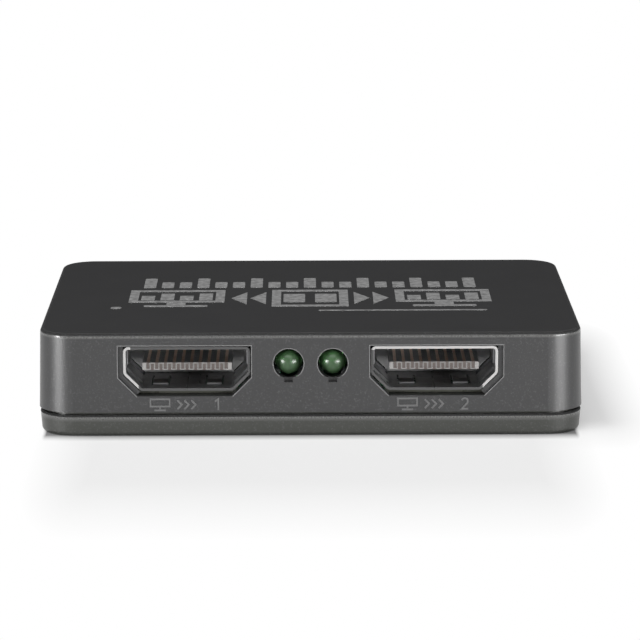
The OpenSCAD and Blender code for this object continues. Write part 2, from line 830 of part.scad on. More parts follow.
// The two leads of a lamp, from the frame inside the lens to their ends in the board
module lamp_leads() {
    y0 = lamp_len;
    y1 = lamp_len + lead_run;
    low = -lamp_rise - board_t - stub;
    color(tin_colour) {
        difference() {
            lead_frame(0);
            translate([0, anvil_ys[0] - cup_len, 0]) rotate([-90, 0, 0])
                cylinder(h = cup_depth, d1 = cup_mouth_d, d2 = cup_floor_d);
        }
        for (side = [-1, 1])
            translate([side * lamp_lead_pitch / 2, 0, 0]) across_x(lead_t) polygon([
                [y0, lead_t / 2], [y1, lead_t / 2], [y1, low],
                [y1 - lead_t, low], [y1 - lead_t, -lead_t / 2], [y0, -lead_t / 2],
            ]);
    }
}

// Plan of a chip's body, a rectangle with bevelled corners
module chip_plan(w, d, bevel) {
    polygon([
        [bevel - w / 2, -d / 2], [w / 2 - bevel, -d / 2], [w / 2, bevel - d / 2],
        [w / 2, d / 2 - bevel], [w / 2 - bevel, d / 2], [bevel - w / 2, d / 2],
        [-w / 2, d / 2 - bevel], [-w / 2, bevel - d / 2],
    ]);
}

// Gull-wing lead that leaves the plane x = 0 at height z, reaching out along +X
module gull_lead(z, reach, foot, w, t) {
    shoulder = (reach - foot) / 2;
    translate([0, w / 2, 0]) rotate([90, 0, 0]) linear_extrude(w) polygon([
        [0, z], [shoulder - t / 2, z], [reach - foot - t / 2, 0], [reach, 0],
        [reach, t], [reach - foot, t], [shoulder, z + t], [0, z + t],
    ]);
}

module splitter_chip() {
    color(chip_colour) at_share(chip_place_share) difference() {
        translate([0, 0, chip_lift]) linear_extrude(chip_h) chip_plan(chip_w, chip_w, chip_corner);
        translate([chip_mark_d - chip_w / 2 + chip_corner, chip_w / 2 - chip_mark_d - chip_corner,
            chip_lift + chip_h - chip_mark_depth])
            cylinder(h = chip_mark_depth + over, d = chip_mark_d);
    }
}

module splitter_chip_leads() {
    color(tin_colour) at_share(chip_place_share)
        for (side = [0 : 3], i = [0 : chip_leads - 1])
            rotate([0, 0, 90 * side])
                translate([chip_w / 2, (i - (chip_leads - 1) / 2) * chip_lead_pitch, 0])
                    gull_lead(chip_lift + chip_h / 2, chip_lead_reach, chip_lead_foot,
                        chip_lead_w, chip_lead_t);
}

module memory_chip() {
    color(chip_colour) at_share(memory_place_share) difference() {
        standing_box([memory_w, memory_d, memory_h], chip_lift);
        translate([-memory_w / 2, 0, chip_lift + memory_h - chip_mark_depth])
            cylinder(h = chip_mark_depth + over, d = chip_mark_d);
    }
}

module memory_chip_leads() {
    color(tin_colour) at_share(memory_place_share)
        for (side = [-1, 1], i = [0 : memory_leads - 1])
            rotate([0, 0, 90 * side])
                translate([memory_d / 2, (i - (memory_leads - 1) / 2) * memory_lead_pitch, 0])
                    gull_lead(chip_lift + memory_h / 2, chip_lead_reach, chip_lead_foot,
                        memory_lead_w, memory_lead_t);
}

module voltage_regulator() {
    color(chip_colour) translate([power_x, middle_d, board_z])
        standing_box([regulator_w, regulator_d, regulator_h], chip_lift);
}

module voltage_regulator_leads() {
    color(tin_colour) translate([power_x, middle_d, board_z]) {
        rotate([0, 0, -90]) translate([regulator_d / 2, 0, 0])
            gull_lead(chip_lift + regulator_h / 2, regulator_reach, regulator_foot,
                regulator_tab_w, regulator_lead_t);
        for (i = [-1 : 1]) rotate([0, 0, 90])
            translate([regulator_d / 2, i * regulator_lead_pitch, 0])
                gull_lead(chip_lift + regulator_h / 2, regulator_reach, regulator_foot,
                    regulator_lead_w, regulator_lead_t);
    }
}

// Long plan with round ends
module stadium(w, d) {
    square([w - d, d], center = true);
    for (side = [-1, 1]) translate([side * (w - d) / 2, 0]) circle(d = d);
}

module crystal_can() {
    inset = 2 * crystal_rim;
    color(shell_colour) at_share(crystal_place_share) translate([0, 0, crystal_base_h]) {
        linear_extrude(crystal_rim) stadium(crystal_w, crystal_d);
        linear_extrude(crystal_h) stadium(crystal_w - inset, crystal_d - inset);
    }
}

module crystal_base() {
    color(insulator_colour) at_share(crystal_place_share)
        linear_extrude(crystal_base_h) chip_plan(crystal_base_w, crystal_base_d, chip_corner);
}

module capacitor_cans() {
    r = can_d / 2;
    color(shell_colour) for (place = can_place_shares) at_share(place)
        rotate_extrude() polygon([
            [0, can_base_h], [r, can_base_h], [r, can_groove_z],
            [r - can_groove, can_groove_z + can_groove], [r, can_groove_z + 2 * can_groove],
            [r, can_h - can_groove / 2], [r - can_groove / 2, can_h], [0, can_h],
        ]);
}

module capacitor_can_bases() {
    half = can_base_w / 2;
    color(insulator_colour) for (place = can_place_shares) at_share(place)
        linear_extrude(can_base_h) polygon([
            [-half, -half], [half, -half], [half, half - can_base_corner],
            [half - can_base_corner, half], [can_base_corner - half, half],
            [-half, half - can_base_corner],
        ]);
}

module coil_core() {
    color(chip_colour) at_share(coil_place_share) {
        linear_extrude(coil_flange_t) chip_plan(coil_w, coil_w, coil_corner);
        cylinder(h = coil_h, d = coil_core_d);
        translate([0, 0, coil_h - coil_flange_t])
            linear_extrude(coil_flange_t) chip_plan(coil_w, coil_w, coil_corner);
    }
}

module coil_winding() {
    room = coil_h - 2 * (coil_flange_t + coil_gap);
    color([0.72, 0.4, 0.2]) at_share(coil_place_share)
        translate([0, 0, coil_flange_t + coil_gap]) difference() {
            cylinder(h = room, d = coil_w - 2 * coil_gap);
            translate([0, 0, -over]) cylinder(h = room + 2 * over, d = coil_core_d + 2 * coil_gap);
        }
}

// Two surge arrays behind each video socket, between its contacts and the chip
module surge_pair() {
    for (side = [-1, 1])
        translate([side * surge_offset, video_len + contact_foot + surge_back, -video_z + board_z])
            standing_box([surge_w, surge_d, surge_h], 0);
}

module surge_arrays() {
    color(chip_colour) {
        for (side = [-1, 1]) at_output(side) surge_pair();
        at_input() surge_pair();
    }
}

// Body and metal ends of a small part that lies along X
module part_body(h) {
    standing_box([part_l - 2 * part_end, part_w, h], 0);
}

module part_ends(h) {
    for (side = [-1, 1])
        translate([side * (part_l - part_end) / 2, 0, 0]) standing_box([part_end, part_w, h], 0);
}

module ceramic_capacitors() {
    color(ceramic_colour) for (place = capacitor_place_shares) at_share(place) part_body(capacitor_h);
}

module ceramic_capacitor_ends() {
    color(tin_colour) for (place = capacitor_place_shares) at_share(place) part_ends(capacitor_h);
}

module resistors() {
    color(chip_colour) for (place = resistor_place_shares) at_share(place) part_body(resistor_h);
}

module resistor_ends() {
    color(tin_colour) for (place = resistor_place_shares) at_share(place) part_ends(resistor_h);
}

module output_1_shell() { at_output(-1) video_shell(); }
module output_1_insulator() { at_output(-1) video_insulator(); }
module output_1_contacts() { at_output(-1) video_contacts(); }
module output_2_shell() { at_output(1) video_shell(); }
module output_2_insulator() { at_output(1) video_insulator(); }
module output_2_contacts() { at_output(1) video_contacts(); }
module input_shell() { at_input() video_shell(); }
module input_insulator() { at_input() video_insulator(); }
module input_contacts() { at_input() video_contacts(); }
module output_1_lamp() { at_lamp(-1) lamp_lens(); }
module output_1_lamp_leads() { at_lamp(-1) lamp_leads(); }
module output_2_lamp() { at_lamp(1) lamp_lens(); }
module output_2_lamp_leads() { at_lamp(1) lamp_leads(); }

upper_housing();
lower_housing();
housing_screws();
circuit_board();
output_1_shell();
output_1_insulator();
output_1_contacts();
output_2_shell();
output_2_insulator();
output_2_contacts();
input_shell();
input_insulator();
input_contacts();
power_shell();
power_insulator();
power_contacts();
output_1_lamp();
output_1_lamp_leads();
output_2_lamp();
output_2_lamp_leads();
splitter_chip();
splitter_chip_leads();
memory_chip();
memory_chip_leads();
voltage_regulator();
voltage_regulator_leads();
crystal_can();
crystal_base();
capacitor_cans();
capacitor_can_bases();
coil_core();
coil_winding();
surge_arrays();
ceramic_capacitors();
ceramic_capacitor_ends();
resistors();
resistor_ends();
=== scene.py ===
"""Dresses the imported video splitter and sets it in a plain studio.

The box has two video sockets and two lamps in its front wall, one more video socket and
a power socket in its rear wall, and a circuit board inside. Every length is in metres,
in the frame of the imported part: +X right, +Y to the rear, +Z up. Colours are linear, and
a grain is given as so many to the metre.
"""

import logging
import math
from dataclasses import dataclass, field
from enum import Enum

import bmesh
import bpy
from mathutils import Matrix, Vector


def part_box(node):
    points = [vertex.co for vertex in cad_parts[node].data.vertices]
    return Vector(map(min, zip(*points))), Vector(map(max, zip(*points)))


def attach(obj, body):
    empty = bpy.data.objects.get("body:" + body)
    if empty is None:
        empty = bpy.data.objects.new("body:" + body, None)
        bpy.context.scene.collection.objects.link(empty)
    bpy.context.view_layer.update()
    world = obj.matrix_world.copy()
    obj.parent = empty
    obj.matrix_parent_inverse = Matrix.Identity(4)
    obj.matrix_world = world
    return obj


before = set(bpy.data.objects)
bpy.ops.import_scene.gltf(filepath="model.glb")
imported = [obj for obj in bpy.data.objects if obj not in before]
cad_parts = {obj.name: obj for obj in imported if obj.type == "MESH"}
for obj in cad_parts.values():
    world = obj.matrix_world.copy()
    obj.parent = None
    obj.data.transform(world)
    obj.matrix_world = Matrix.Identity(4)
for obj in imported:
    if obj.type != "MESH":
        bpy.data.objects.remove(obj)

LOG = logging.getLogger("splitter")
MM = 0.001
WALL_LEAN, WALL_RISE = 0.2 * MM, 8.99 * MM
SIDE_DRAFT = math.atan2(WALL_LEAN, WALL_RISE)
# The range that most of a soft grain lies in.
GRAIN_SPAN = (0.3, 0.7)

Point = tuple[float, float]
Triple = tuple[float, float, float]
Colour = Triple
Box = tuple[Vector, Vector]
Draft = bmesh.types.BMesh
Socket = bpy.types.NodeSocket
Value = Socket | float
Tone = Socket | Colour


class Slot(Enum):
    """The record's material slots."""

    HOUSING = "housing_plastic"
    SCREW = "screw_steel"
    BOARD = "board_laminate"
    SHELL = "plated_shell"
    SOCKET = "socket_plastic"
    GOLD = "gold_contact"
    LENS = "green_lens"
    TIN = "tinned_lead"
    CHIP = "chip_resin"
    CAN = "can_aluminium"
    FERRITE = "coil_ferrite"
    COPPER = "coil_copper"
    CERAMIC = "capacitor_ceramic"


class Extra(Enum):
    """Finishes that only new pieces have."""

    INK = "printed_ink"
    # A pale plastic for the lines round the openings: a painted highlight on their edges.
    RIM_HIGHLIGHT = "rim_highlight_plastic"
    # Lighter than the housing plastic the marks are moulded from: a painted highlight.
    RAISED = "raised_plastic"


class Side(Enum):
    """The wall that an opening is in, as the sign of its way out along Y."""

    FRONT = -1
    REAR = 1


class Graph:
    """A material's node tree, grown from one Principled shader on object coordinates."""

    def __init__(self, name: str) -> None:
        """Starts a material with its shader, its output and its coordinates.

        Args:
            name: The material's name.
        """
        self.material = bpy.data.materials.new(name)
        self.material.use_nodes = True
        self.tree = self.material.node_tree
        self.tree.nodes.clear()
        self.shader = self.add("ShaderNodeBsdfPrincipled")
        self.output = self.add("ShaderNodeOutputMaterial")
        self.tree.links.new(self.shader.outputs["BSDF"], self.output.inputs["Surface"])
        self.place = self.add("ShaderNodeTexCoord").outputs["Object"]

    def add(self, kind: str, **values: object) -> bpy.types.Node:
        """Adds a node.

        Args:
            kind: The node's type.
            values: Properties of the node itself.

        Returns:
            The new node.
        """
        node = self.tree.nodes.new(kind)
        for key, value in values.items():
            setattr(node, key, value)
        return node

    def feed(self, socket: Socket, value: Value | Tone) -> None:
        """Sets an input, or links it where the value is another node's output.

        Args:
            socket: The input.
            value: What it gets.
        """
        if isinstance(value, Socket):
            self.tree.links.new(value, socket)
        else:
            socket.default_value = value

    def set(self, **inputs: Value | Tone) -> None:
        """Sets the shader's inputs, whose names are given with underscores."""
        for key, value in inputs.items():
            self.feed(self.shader.inputs[key.replace("_", " ")], value)

    def stretch(self, scale: Triple) -> Socket:
        """Gives the coordinates scaled along each axis.

        Args:
            scale: The factors along X, Y and Z.

        Returns:
            The scaled coordinates.
        """
        node = self.add("ShaderNodeMapping")
        self.feed(node.inputs["Vector"], self.place)
        node.inputs["Scale"].default_value = scale
        return node.outputs["Vector"]

    def noise(self, scale: float, detail: float = 2.0, place: Socket | None = None) -> Socket:
        """Adds soft random grain.

        Args:
            scale: Grains per metre.
            detail: How many finer layers it has.
            place: Other coordinates than the object's own.

        Returns:
            The grain, from 0 to 1 about a mean of a half.
        """
        node = self.add("ShaderNodeTexNoise")
        self.feed(node.inputs["Vector"], place or self.place)
        node.inputs["Scale"].default_value = scale
        node.inputs["Detail"].default_value = detail
        return node.outputs["Fac"]

    def remap(
        self, value: Value, low: float, high: float, to_low: Value = 0.0, to_high: Value = 1.0
    ) -> Socket:
        """Maps a value from one range to another, held at its ends.

        Args:
            value: What is mapped.
            low: The start of its range.
            high: The end of its range.
            to_low: What the start becomes.
            to_high: What the end becomes.

        Returns:
            The mapped value.
        """
        node = self.add("ShaderNodeMapRange")
        names = ("Value", "From Min", "From Max", "To Min", "To Max")
        for name, given in zip(names, (value, low, high, to_low, to_high)):
            self.feed(node.inputs[name], given)
        return node.outputs["Result"]

    def maths(self, operation: str, a: Value, b: Value = 0.0) -> Socket:
        """Works out a sum, product or the like of two values.

        Args:
            operation: The operation's name.
            a: The first value.
            b: The second value, where the operation has one.

        Returns:
            The result.
        """
        node = self.add("ShaderNodeMath", operation=operation)
        self.feed(node.inputs[0], a)
        self.feed(node.inputs[1], b)
        return node.outputs["Value"]

    def times(self, a: Value, b: Value) -> Socket:
        """Multiplies two values, which also says where two conditions both hold."""
        return self.maths("MULTIPLY", a, b)

    def over(self, value: Value, limit: float) -> Socket:
        """Gives 1 where a value is over a limit, and otherwise 0."""
        return self.maths("GREATER_THAN", value, limit)

    def under(self, value: Value, limit: float) -> Socket:
        """Gives 1 where a value is under a limit, and otherwise 0."""
        return self.maths("LESS_THAN", value, limit)

    def blend(self, factor: Value, a: Tone, b: Tone) -> Socket:
        """Mixes two colours.

        Args:
            factor: 0 for the first colour and 1 for the second.
            a: The first colour.
            b: The second colour.

        Returns:
            The mixed colour.
        """
        node = self.add("ShaderNodeMix", data_type="RGBA")
        self.feed(node.inputs["Factor"], factor)
        for name, colour in (("A", a), ("B", b)):
            socket = next(s for s in node.inputs if s.name == name and s.type == "RGBA")
            self.feed(socket, colour if isinstance(colour, Socket) else (*colour, 1.0))
        return next(s for s in node.outputs if s.type == "RGBA")

    def axis(self, name: str) -> Socket:
        """Gives one of the object's coordinates.

        Args:
            name: X, Y or Z.

        Returns:
            The coordinate.
        """
        node = self.add("ShaderNodeSeparateXYZ")
        self.feed(node.inputs["Vector"], self.place)
        return node.outputs[name]

    def bump(self, height: Socket, depth: float) -> None:
        """Presses a height into the surface.

        Args:
            height: The height, from 0 to 1.
            depth: What a height of 1 stands for, in metres.
        """
        node = self.add("ShaderNodeBump")
        node.inputs["Distance"].default_value = depth
        self.feed(node.inputs["Height"], height)
        self.feed(self.shader.inputs["Normal"], node.outputs["Normal"])


def shade(colour: Colour, factor: float) -> Colour:
    """Gives a colour made lighter or darker by a factor."""
    return tuple(min(1.0, c * factor) for c in colour)


class Finish:
    """A procedural material, whose subclasses say how its surface looks."""

    def build(self, name: str) -> bpy.types.Material:
        """Builds the material.

        Args:
            name: Its name.

        Returns:
            The material.
        """
        g = Graph(name)
        self.paint(g)
        return g.material

    def paint(self, g: Graph) -> None:
        """Sets the shader's inputs, in each finish's own way."""
        raise NotImplementedError


@dataclass(frozen=True)
class MouldedPlastic(Finish):
    """Satin anthracite plastic with spark-eroded grain, duller and darker on its top face.

    The walls carry a painted highlight in two bands: one along the top edge, given by the depths
    under the top where it starts, is full, is past and stops, and a lip under the seam,
    given by the depths where it is full and where it ends. The crest over the first band
    and the joint over the lip are dull, and dark with painted shade.
    """

    colour: Colour = (0.019, 0.019, 0.0195)
    top_colour: Colour = (0.037, 0.037, 0.038)
    lower_colour: Colour = (0.021, 0.022, 0.019)
    # Colour of the painted highlight in the two bands; the dark colour below it is painted shade.
    highlight_colour: Colour = (0.07, 0.07, 0.068)
    painted_shade_colour: Colour = (0.004, 0.004, 0.004)
    speck_colour: Colour = (0.11, 0.11, 0.112)
    roughness: float = 0.34
    top_roughness: float = 0.5
    highlight_roughness: float = 0.27
    dull_roughness: float = 0.95
    grain_roughness: Point = (-0.04, 0.05)
    shine: float = 0.6
    grain: float = 5200.0
    grain_depth: float = 0.004 * MM
    blotch: float = 160.0
    layers: float = 3.0
    blotch_shades: Point = (0.92, 1.08)
    top_shades: Point = (0.92, 1.1)
    speck_grains: Point = (0.56, 0.72)
    speck_cover: float = 0.24
    edge_step: Point = (0.06 * MM, 0.005 * MM)
    crest: float = 0.25 * MM
    joint: float = 0.22 * MM
    highlight_band: tuple[float, float, float, float] = (0.26 * MM, 0.4 * MM, 0.44 * MM, 0.68 * MM)
    shadow_gap: float = 0.35 * MM
    lip: Point = (0.3 * MM, 0.8 * MM)

    def painted_light(self, g: Graph, height: Socket, lower_z: float, top_z: float) -> tuple[Socket, Socket]:
        """Finds where the walls carry painted highlight, and where they are dull with painted shade.

        Args:
            g: The material's graph.
            height: A point's height.
            lower_z: The top of the lower housing.
            top_z: The top of the upper housing.

        Returns:
            How far the point carries painted highlight, and whether it is dull with painted shade.
        """
        # The band under the top edge and the lip under the seam are painted highlight; the crest and the
        # joint are painted shade.
        start, peak, past, stop = (top_z - depth for depth in self.highlight_band)
        rim = g.maths("MINIMUM", g.remap(height, start, peak), g.remap(height, stop, past))
        full, end = (lower_z - depth for depth in self.lip)
        below = g.under(height, lower_z)
        lip = g.times(g.remap(height, end, full), below)
        in_joint = g.times(g.over(height, lower_z - self.joint), below)
        on_crest = g.over(height, top_z - self.crest)
        return g.maths("MAXIMUM", rim, lip), g.maths("MAXIMUM", in_joint, on_crest)

    def paint(self, g: Graph) -> None:
        """Sets the shader's inputs.

        Args:
            g: The material's graph.
        """
        cloud = g.noise(self.blotch, self.layers)
        fine = g.noise(self.grain, self.layers)
        height = g.axis("Z")
        seam_z, top_z = (corner.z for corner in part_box("upper_housing"))
        highlight_band, dull = self.painted_light(g, height, seam_z - self.shadow_gap, top_z)
        on_top = g.remap(height, *(top_z - depth for depth in self.edge_step))
        upper = g.blend(cloud, *(shade(self.colour, factor) for factor in self.blotch_shades))
        sides = g.blend(g.under(height, seam_z), upper, self.lower_colour)
        # Painted highlight in the bands, painted shade on the crest and in the joint.
        sides = g.blend(dull, g.blend(highlight_band, sides, self.highlight_colour), self.painted_shade_colour)
        top = g.blend(cloud, *(shade(self.top_colour, factor) for factor in self.top_shades))
        specks = g.remap(fine, *self.speck_grains, 0.0, self.speck_cover)
        walls = g.remap(highlight_band, 0.0, 1.0, self.roughness, self.highlight_roughness)
        walls = g.remap(dull, 0.0, 1.0, walls, self.dull_roughness)
        rough = g.remap(on_top, 0.0, 1.0, walls, self.top_roughness)
        rough = g.maths("ADD", rough, g.remap(fine, *GRAIN_SPAN, *self.grain_roughness))
        g.set(Base_Color=g.blend(specks, g.blend(on_top, sides, top), self.speck_colour), Roughness=rough)
        g.set(Specular_IOR_Level=self.shine)
        g.bump(fine, self.grain_depth)


@dataclass(frozen=True)
class BareMetal(Finish):
    """Rolled or plated metal, with fine lines along one axis and a few duller patches."""

    colour: Colour
    roughness: float
    lines: Triple = (900.0, 9000.0, 9000.0)
    patch: float = 420.0
    patch_grains: Point = (0.45, 0.75)
    layers: float = 3.0
    tarnish: float = 0.78
    tarnish_roughness: float = 0.08
    line_grains: Point = (0.25, 0.75)
    line_roughness: Point = (0.75, 1.3)
    line_depth: float = 0.002 * MM

    def paint(self, g: Graph) -> None:
        """Sets the shader's inputs.

        Args:
            g: The material's graph.
        """
        streak = g.noise(1.0, self.layers, g.stretch(self.lines))
        dull = g.remap(g.noise(self.patch, self.layers), *self.patch_grains)
        colour = g.blend(dull, self.colour, shade(self.colour, self.tarnish))
        spread = (self.roughness * factor for factor in self.line_roughness)
        rough = g.remap(streak, *self.line_grains, *spread)
        rough = g.maths("ADD", rough, g.times(dull, self.tarnish_roughness))
        colour, rough = self.vary(g, colour, rough)
        g.set(Base_Color=colour, Metallic=1.0, Roughness=rough)
        g.bump(streak, self.line_depth)

    def vary(self, g: Graph, colour: Socket, rough: Socket) -> tuple[Socket, Socket]:
        """Gives the colour and the roughness as they are, for other metals to change."""
        return colour, rough


@dataclass(frozen=True)
class MouthTone:
    """The tone of a socket's part near its mouth, and how deep behind the mouth it goes."""

    colour: Colour
    roughness: float
    depth: float
    fade: float = 0.02 * MM

    def share(self, g: Graph) -> Socket:
        """Gives how far a point has the tone.

        Args:
            g: The material's graph.

        Returns:
            0 away from the mouths and 1 near them.
        """
        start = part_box("input_shell")[1].y - self.depth
        return g.remap(g.maths("ABSOLUTE", g.axis("Y")), start - self.fade, start)


@dataclass(frozen=True)
class SocketMetal(BareMetal):
    """Plated metal of the sockets, cut off at the mouth by a tone of its own.

    On the shells that tone is a painted reflection: dark on most lips, and bright on the lips
    that lie further out than the given x, on the slants below them, and on the upper lip of a
    socket on the right. Without that x none of them is bright.
    """

    # The dark tone near the mouth, on the shells a painted reflection.
    mouth: MouthTone = MouthTone((0.1, 0.1, 0.1), 0.5, 0.03 * MM)
    # Colour of the bright painted reflection on some lips.
    bright: Colour = (0.46, 0.455, 0.45)
    glint_x: float | None = None
    glint_top: float = 0.4 * MM
    slant_top: float = 2.6 * MM
    slant_reach: float = 0.9 * MM

    def lips(self, g: Graph) -> Socket:
        """Gives the mouth's tone, dark, with a bright painted reflection on some lips.

        Args:
            g: The material's graph.

        Returns:
            The colour.
        """
        top_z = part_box("output_2_shell")[1].z
        x, height = g.axis("X"), g.axis("Z")
        on_slant = g.under(height, top_z - self.slant_top)
        reach = g.maths("ADD", g.maths("ABSOLUTE", x), g.times(on_slant, self.slant_reach))
        outer = g.over(reach, self.glint_x)
        over = g.over(height, top_z - self.glint_top)
        upper = g.times(over, g.over(x, 0.0))
        return g.blend(g.maths("MAXIMUM", outer, upper), self.mouth.colour, self.bright)

    def vary(self, g: Graph, colour: Socket, rough: Socket) -> tuple[Socket, Socket]:
        """Blends in the tone near the mouths.

        Args:
            g: The material's graph.
            colour: The metal's colour elsewhere.
            rough: Its roughness elsewhere.

        Returns:
            The blended colour and roughness.
        """
        share = self.mouth.share(g)
        tone = self.mouth.colour if self.glint_x is None else self.lips(g)
        return g.blend(share, colour, tone), g.remap(share, 0.0, 1.0, rough, self.mouth.roughness)


@dataclass(frozen=True)
class FineResin(Finish):
    """Moulded or fired body with a fine even grain, for sockets, chips and small parts."""

    colour: Colour
    roughness: float
    rough_spread: float = 0.06
    grain: float = 9000.0
    grain_depth: float = 0.004 * MM
    layers: float = 4.0
    contrast: float = 0.14
    cloud: float = 750.0
    cloud_grains: Point = (0.5, 0.8)
    cloud_cover: float = 0.3
    cloud_shade: float = 1.25
    mouth: MouthTone | None = None

    def paint(self, g: Graph) -> None:
        """Sets the shader's inputs.

        Args:
            g: The material's graph.
        """
        fine = g.noise(self.grain, self.layers)
        clouds = g.remap(g.noise(self.cloud), *self.cloud_grains, 0.0, self.cloud_cover)
        colour = g.blend(fine, shade(self.colour, 1 - self.contrast), shade(self.colour, 1 + self.contrast))
        colour = g.blend(clouds, colour, shade(self.colour, self.cloud_shade))
        if self.mouth:
            colour = g.blend(self.mouth.share(g), colour, self.mouth.colour)
        spread = (self.roughness - self.rough_spread, self.roughness + self.rough_spread)
        g.set(Base_Color=colour, Roughness=g.remap(fine, *GRAIN_SPAN, *spread))
        g.bump(fine, self.grain_depth)


@dataclass(frozen=True)
class BoardLaminate(Finish):
    """Green solder mask over copper tracks, with the glass cloth on the board's edge coloured dark as
    painted shade.
    """

    mask: Colour = (0.012, 0.105, 0.045)
    track: Colour = (0.03, 0.19, 0.075)
    # Dark: painted shade on the board's edge, in place of the pale glass cloth.
    edge: Colour = (0.045, 0.046, 0.038)
    edge_shade: float = 0.7
    track_pitch: float = 1.27 * MM
    track_run: float = 8.89 * MM
    track_width: float = 0.254 * MM
    track_height: float = 0.02 * MM
    layers: float = 1.0
    tracked: float = 140.0
    tracked_grains: Point = (0.45, 0.55)
    cloth: float = 6000.0
    cloth_stretch: Triple = (1.0, 1.0, 6.0)
    skin: float = 0.06 * MM
    roughness: float = 0.28
    track_roughness: float = 0.22
    coat: float = 0.3
    coat_roughness: float = 0.15

    def tracks(self, g: Graph) -> Socket:
        """Gives the board's tracks, in patches.

        Args:
            g: The material's graph.

        Returns:
            0 between the tracks and 1 on them.
        """
        bricks = g.add("ShaderNodeTexBrick", offset=0.5)
        g.feed(bricks.inputs["Vector"], g.place)
        bricks.inputs["Scale"].default_value = 1.0
        bricks.inputs["Brick Width"].default_value = self.track_run
        bricks.inputs["Row Height"].default_value = self.track_pitch
        bricks.inputs["Mortar Size"].default_value = self.track_width
        patches = g.remap(g.noise(self.tracked, self.layers), *self.tracked_grains)
        return g.times(bricks.outputs["Fac"], patches)

    def paint(self, g: Graph) -> None:
        """Sets the shader's inputs.

        Args:
            g: The material's graph.
        """
        tracks = self.tracks(g)
        height = g.axis("Z")
        low, high = (corner.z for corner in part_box("circuit_board"))
        over_low = g.over(height, low + self.skin)
        inside = g.times(over_low, g.under(height, high - self.skin))
        weave = g.noise(self.cloth, self.layers, g.stretch(self.cloth_stretch))
        # The board's edge, coloured dark as painted shade.
        cloth = g.blend(weave, shade(self.edge, self.edge_shade), self.edge)
        g.set(Base_Color=g.blend(inside, g.blend(tracks, self.mask, self.track), cloth))
        g.set(Roughness=g.remap(tracks, 0.0, 1.0, self.roughness, self.track_roughness))
        g.set(Coat_Weight=self.coat, Coat_Roughness=self.coat_roughness)
        g.bump(tracks, self.track_height)


@dataclass(frozen=True)
class TintedLens(Finish):
    """Green clear resin with a little milk in it."""

    colour: Colour = (0.17, 0.35, 0.155)
    shades: Point = (0.85, 1.15)
    milk: float = 1500.0
    clear: float = 0.88
    refraction: float = 1.53
    roughness: Point = (0.28, 0.36)
    ripple: float = 900.0
    ripple_layers: float = 1.0
    ripple_depth: float = 0.01 * MM

    def paint(self, g: Graph) -> None:
        """Sets the shader's inputs.

        Args:
            g: The material's graph.
        """
        milk = g.noise(self.milk)
        g.set(Base_Color=g.blend(milk, *(shade(self.colour, factor) for factor in self.shades)))
        g.set(Roughness=g.remap(milk, *GRAIN_SPAN, *self.roughness))
        g.set(IOR=self.refraction, Transmission_Weight=self.clear)
        g.bump(g.noise(self.ripple, self.ripple_layers), self.ripple_depth)


@dataclass(frozen=True)
class WoundWire(Finish):
    """Enamelled copper wire, laid turn on turn up the coil."""

    colour: Colour = (0.52, 0.17, 0.06)
    # The colour between the turns, darker: painted shade in the grooves.
    groove_shade: float = 0.35
    metal: float = 0.85
    wire: float = 0.22 * MM
    wave_rate: float = math.pi / 10
    wander: float = 0.4
    grain: float = 3000.0
    roughness: Point = (0.22, 0.34)
    enamel: float = 0.6

    def paint(self, g: Graph) -> None:
        """Sets the shader's inputs.

        Args:
            g: The material's graph.
        """
        wave = g.add("ShaderNodeTexWave", wave_type="BANDS", bands_direction="Z")
        g.feed(wave.inputs["Vector"], g.place)
        wave.inputs["Scale"].default_value = self.wave_rate / self.wire
        wave.inputs["Distortion"].default_value = self.wander
        turns = wave.outputs["Fac"]
        # Darker between the turns: painted shade in the grooves, besides the bump.
        g.set(Base_Color=g.blend(turns, shade(self.colour, self.groove_shade), self.colour))
        g.set(Roughness=g.remap(g.noise(self.grain), *GRAIN_SPAN, *self.roughness))
        g.set(Metallic=self.metal, Coat_Weight=self.enamel)
        g.bump(turns, self.wire / 2)


@dataclass(frozen=True)
class PrintedInk(Finish):
    """Flat pale grey screen print, a little uneven in its cover."""

    colour: Colour = (0.34, 0.34, 0.34)
    thin_shade: float = 0.52
    cover: float = 1400.0
    cover_grains: Point = (0.35, 0.7)
    layers: float = 4.0
    roughness: float = 0.6
    grain: float = 5200.0
    grain_depth: float = 0.003 * MM

    def paint(self, g: Graph) -> None:
        """Sets the shader's inputs.

        Args:
            g: The material's graph.
        """
        thin = g.remap(g.noise(self.cover, self.layers), *self.cover_grains)
        g.set(Base_Color=g.blend(thin, self.colour, shade(self.colour, self.thin_shade)))
        g.set(Roughness=self.roughness)
        g.bump(g.noise(self.grain), self.grain_depth)


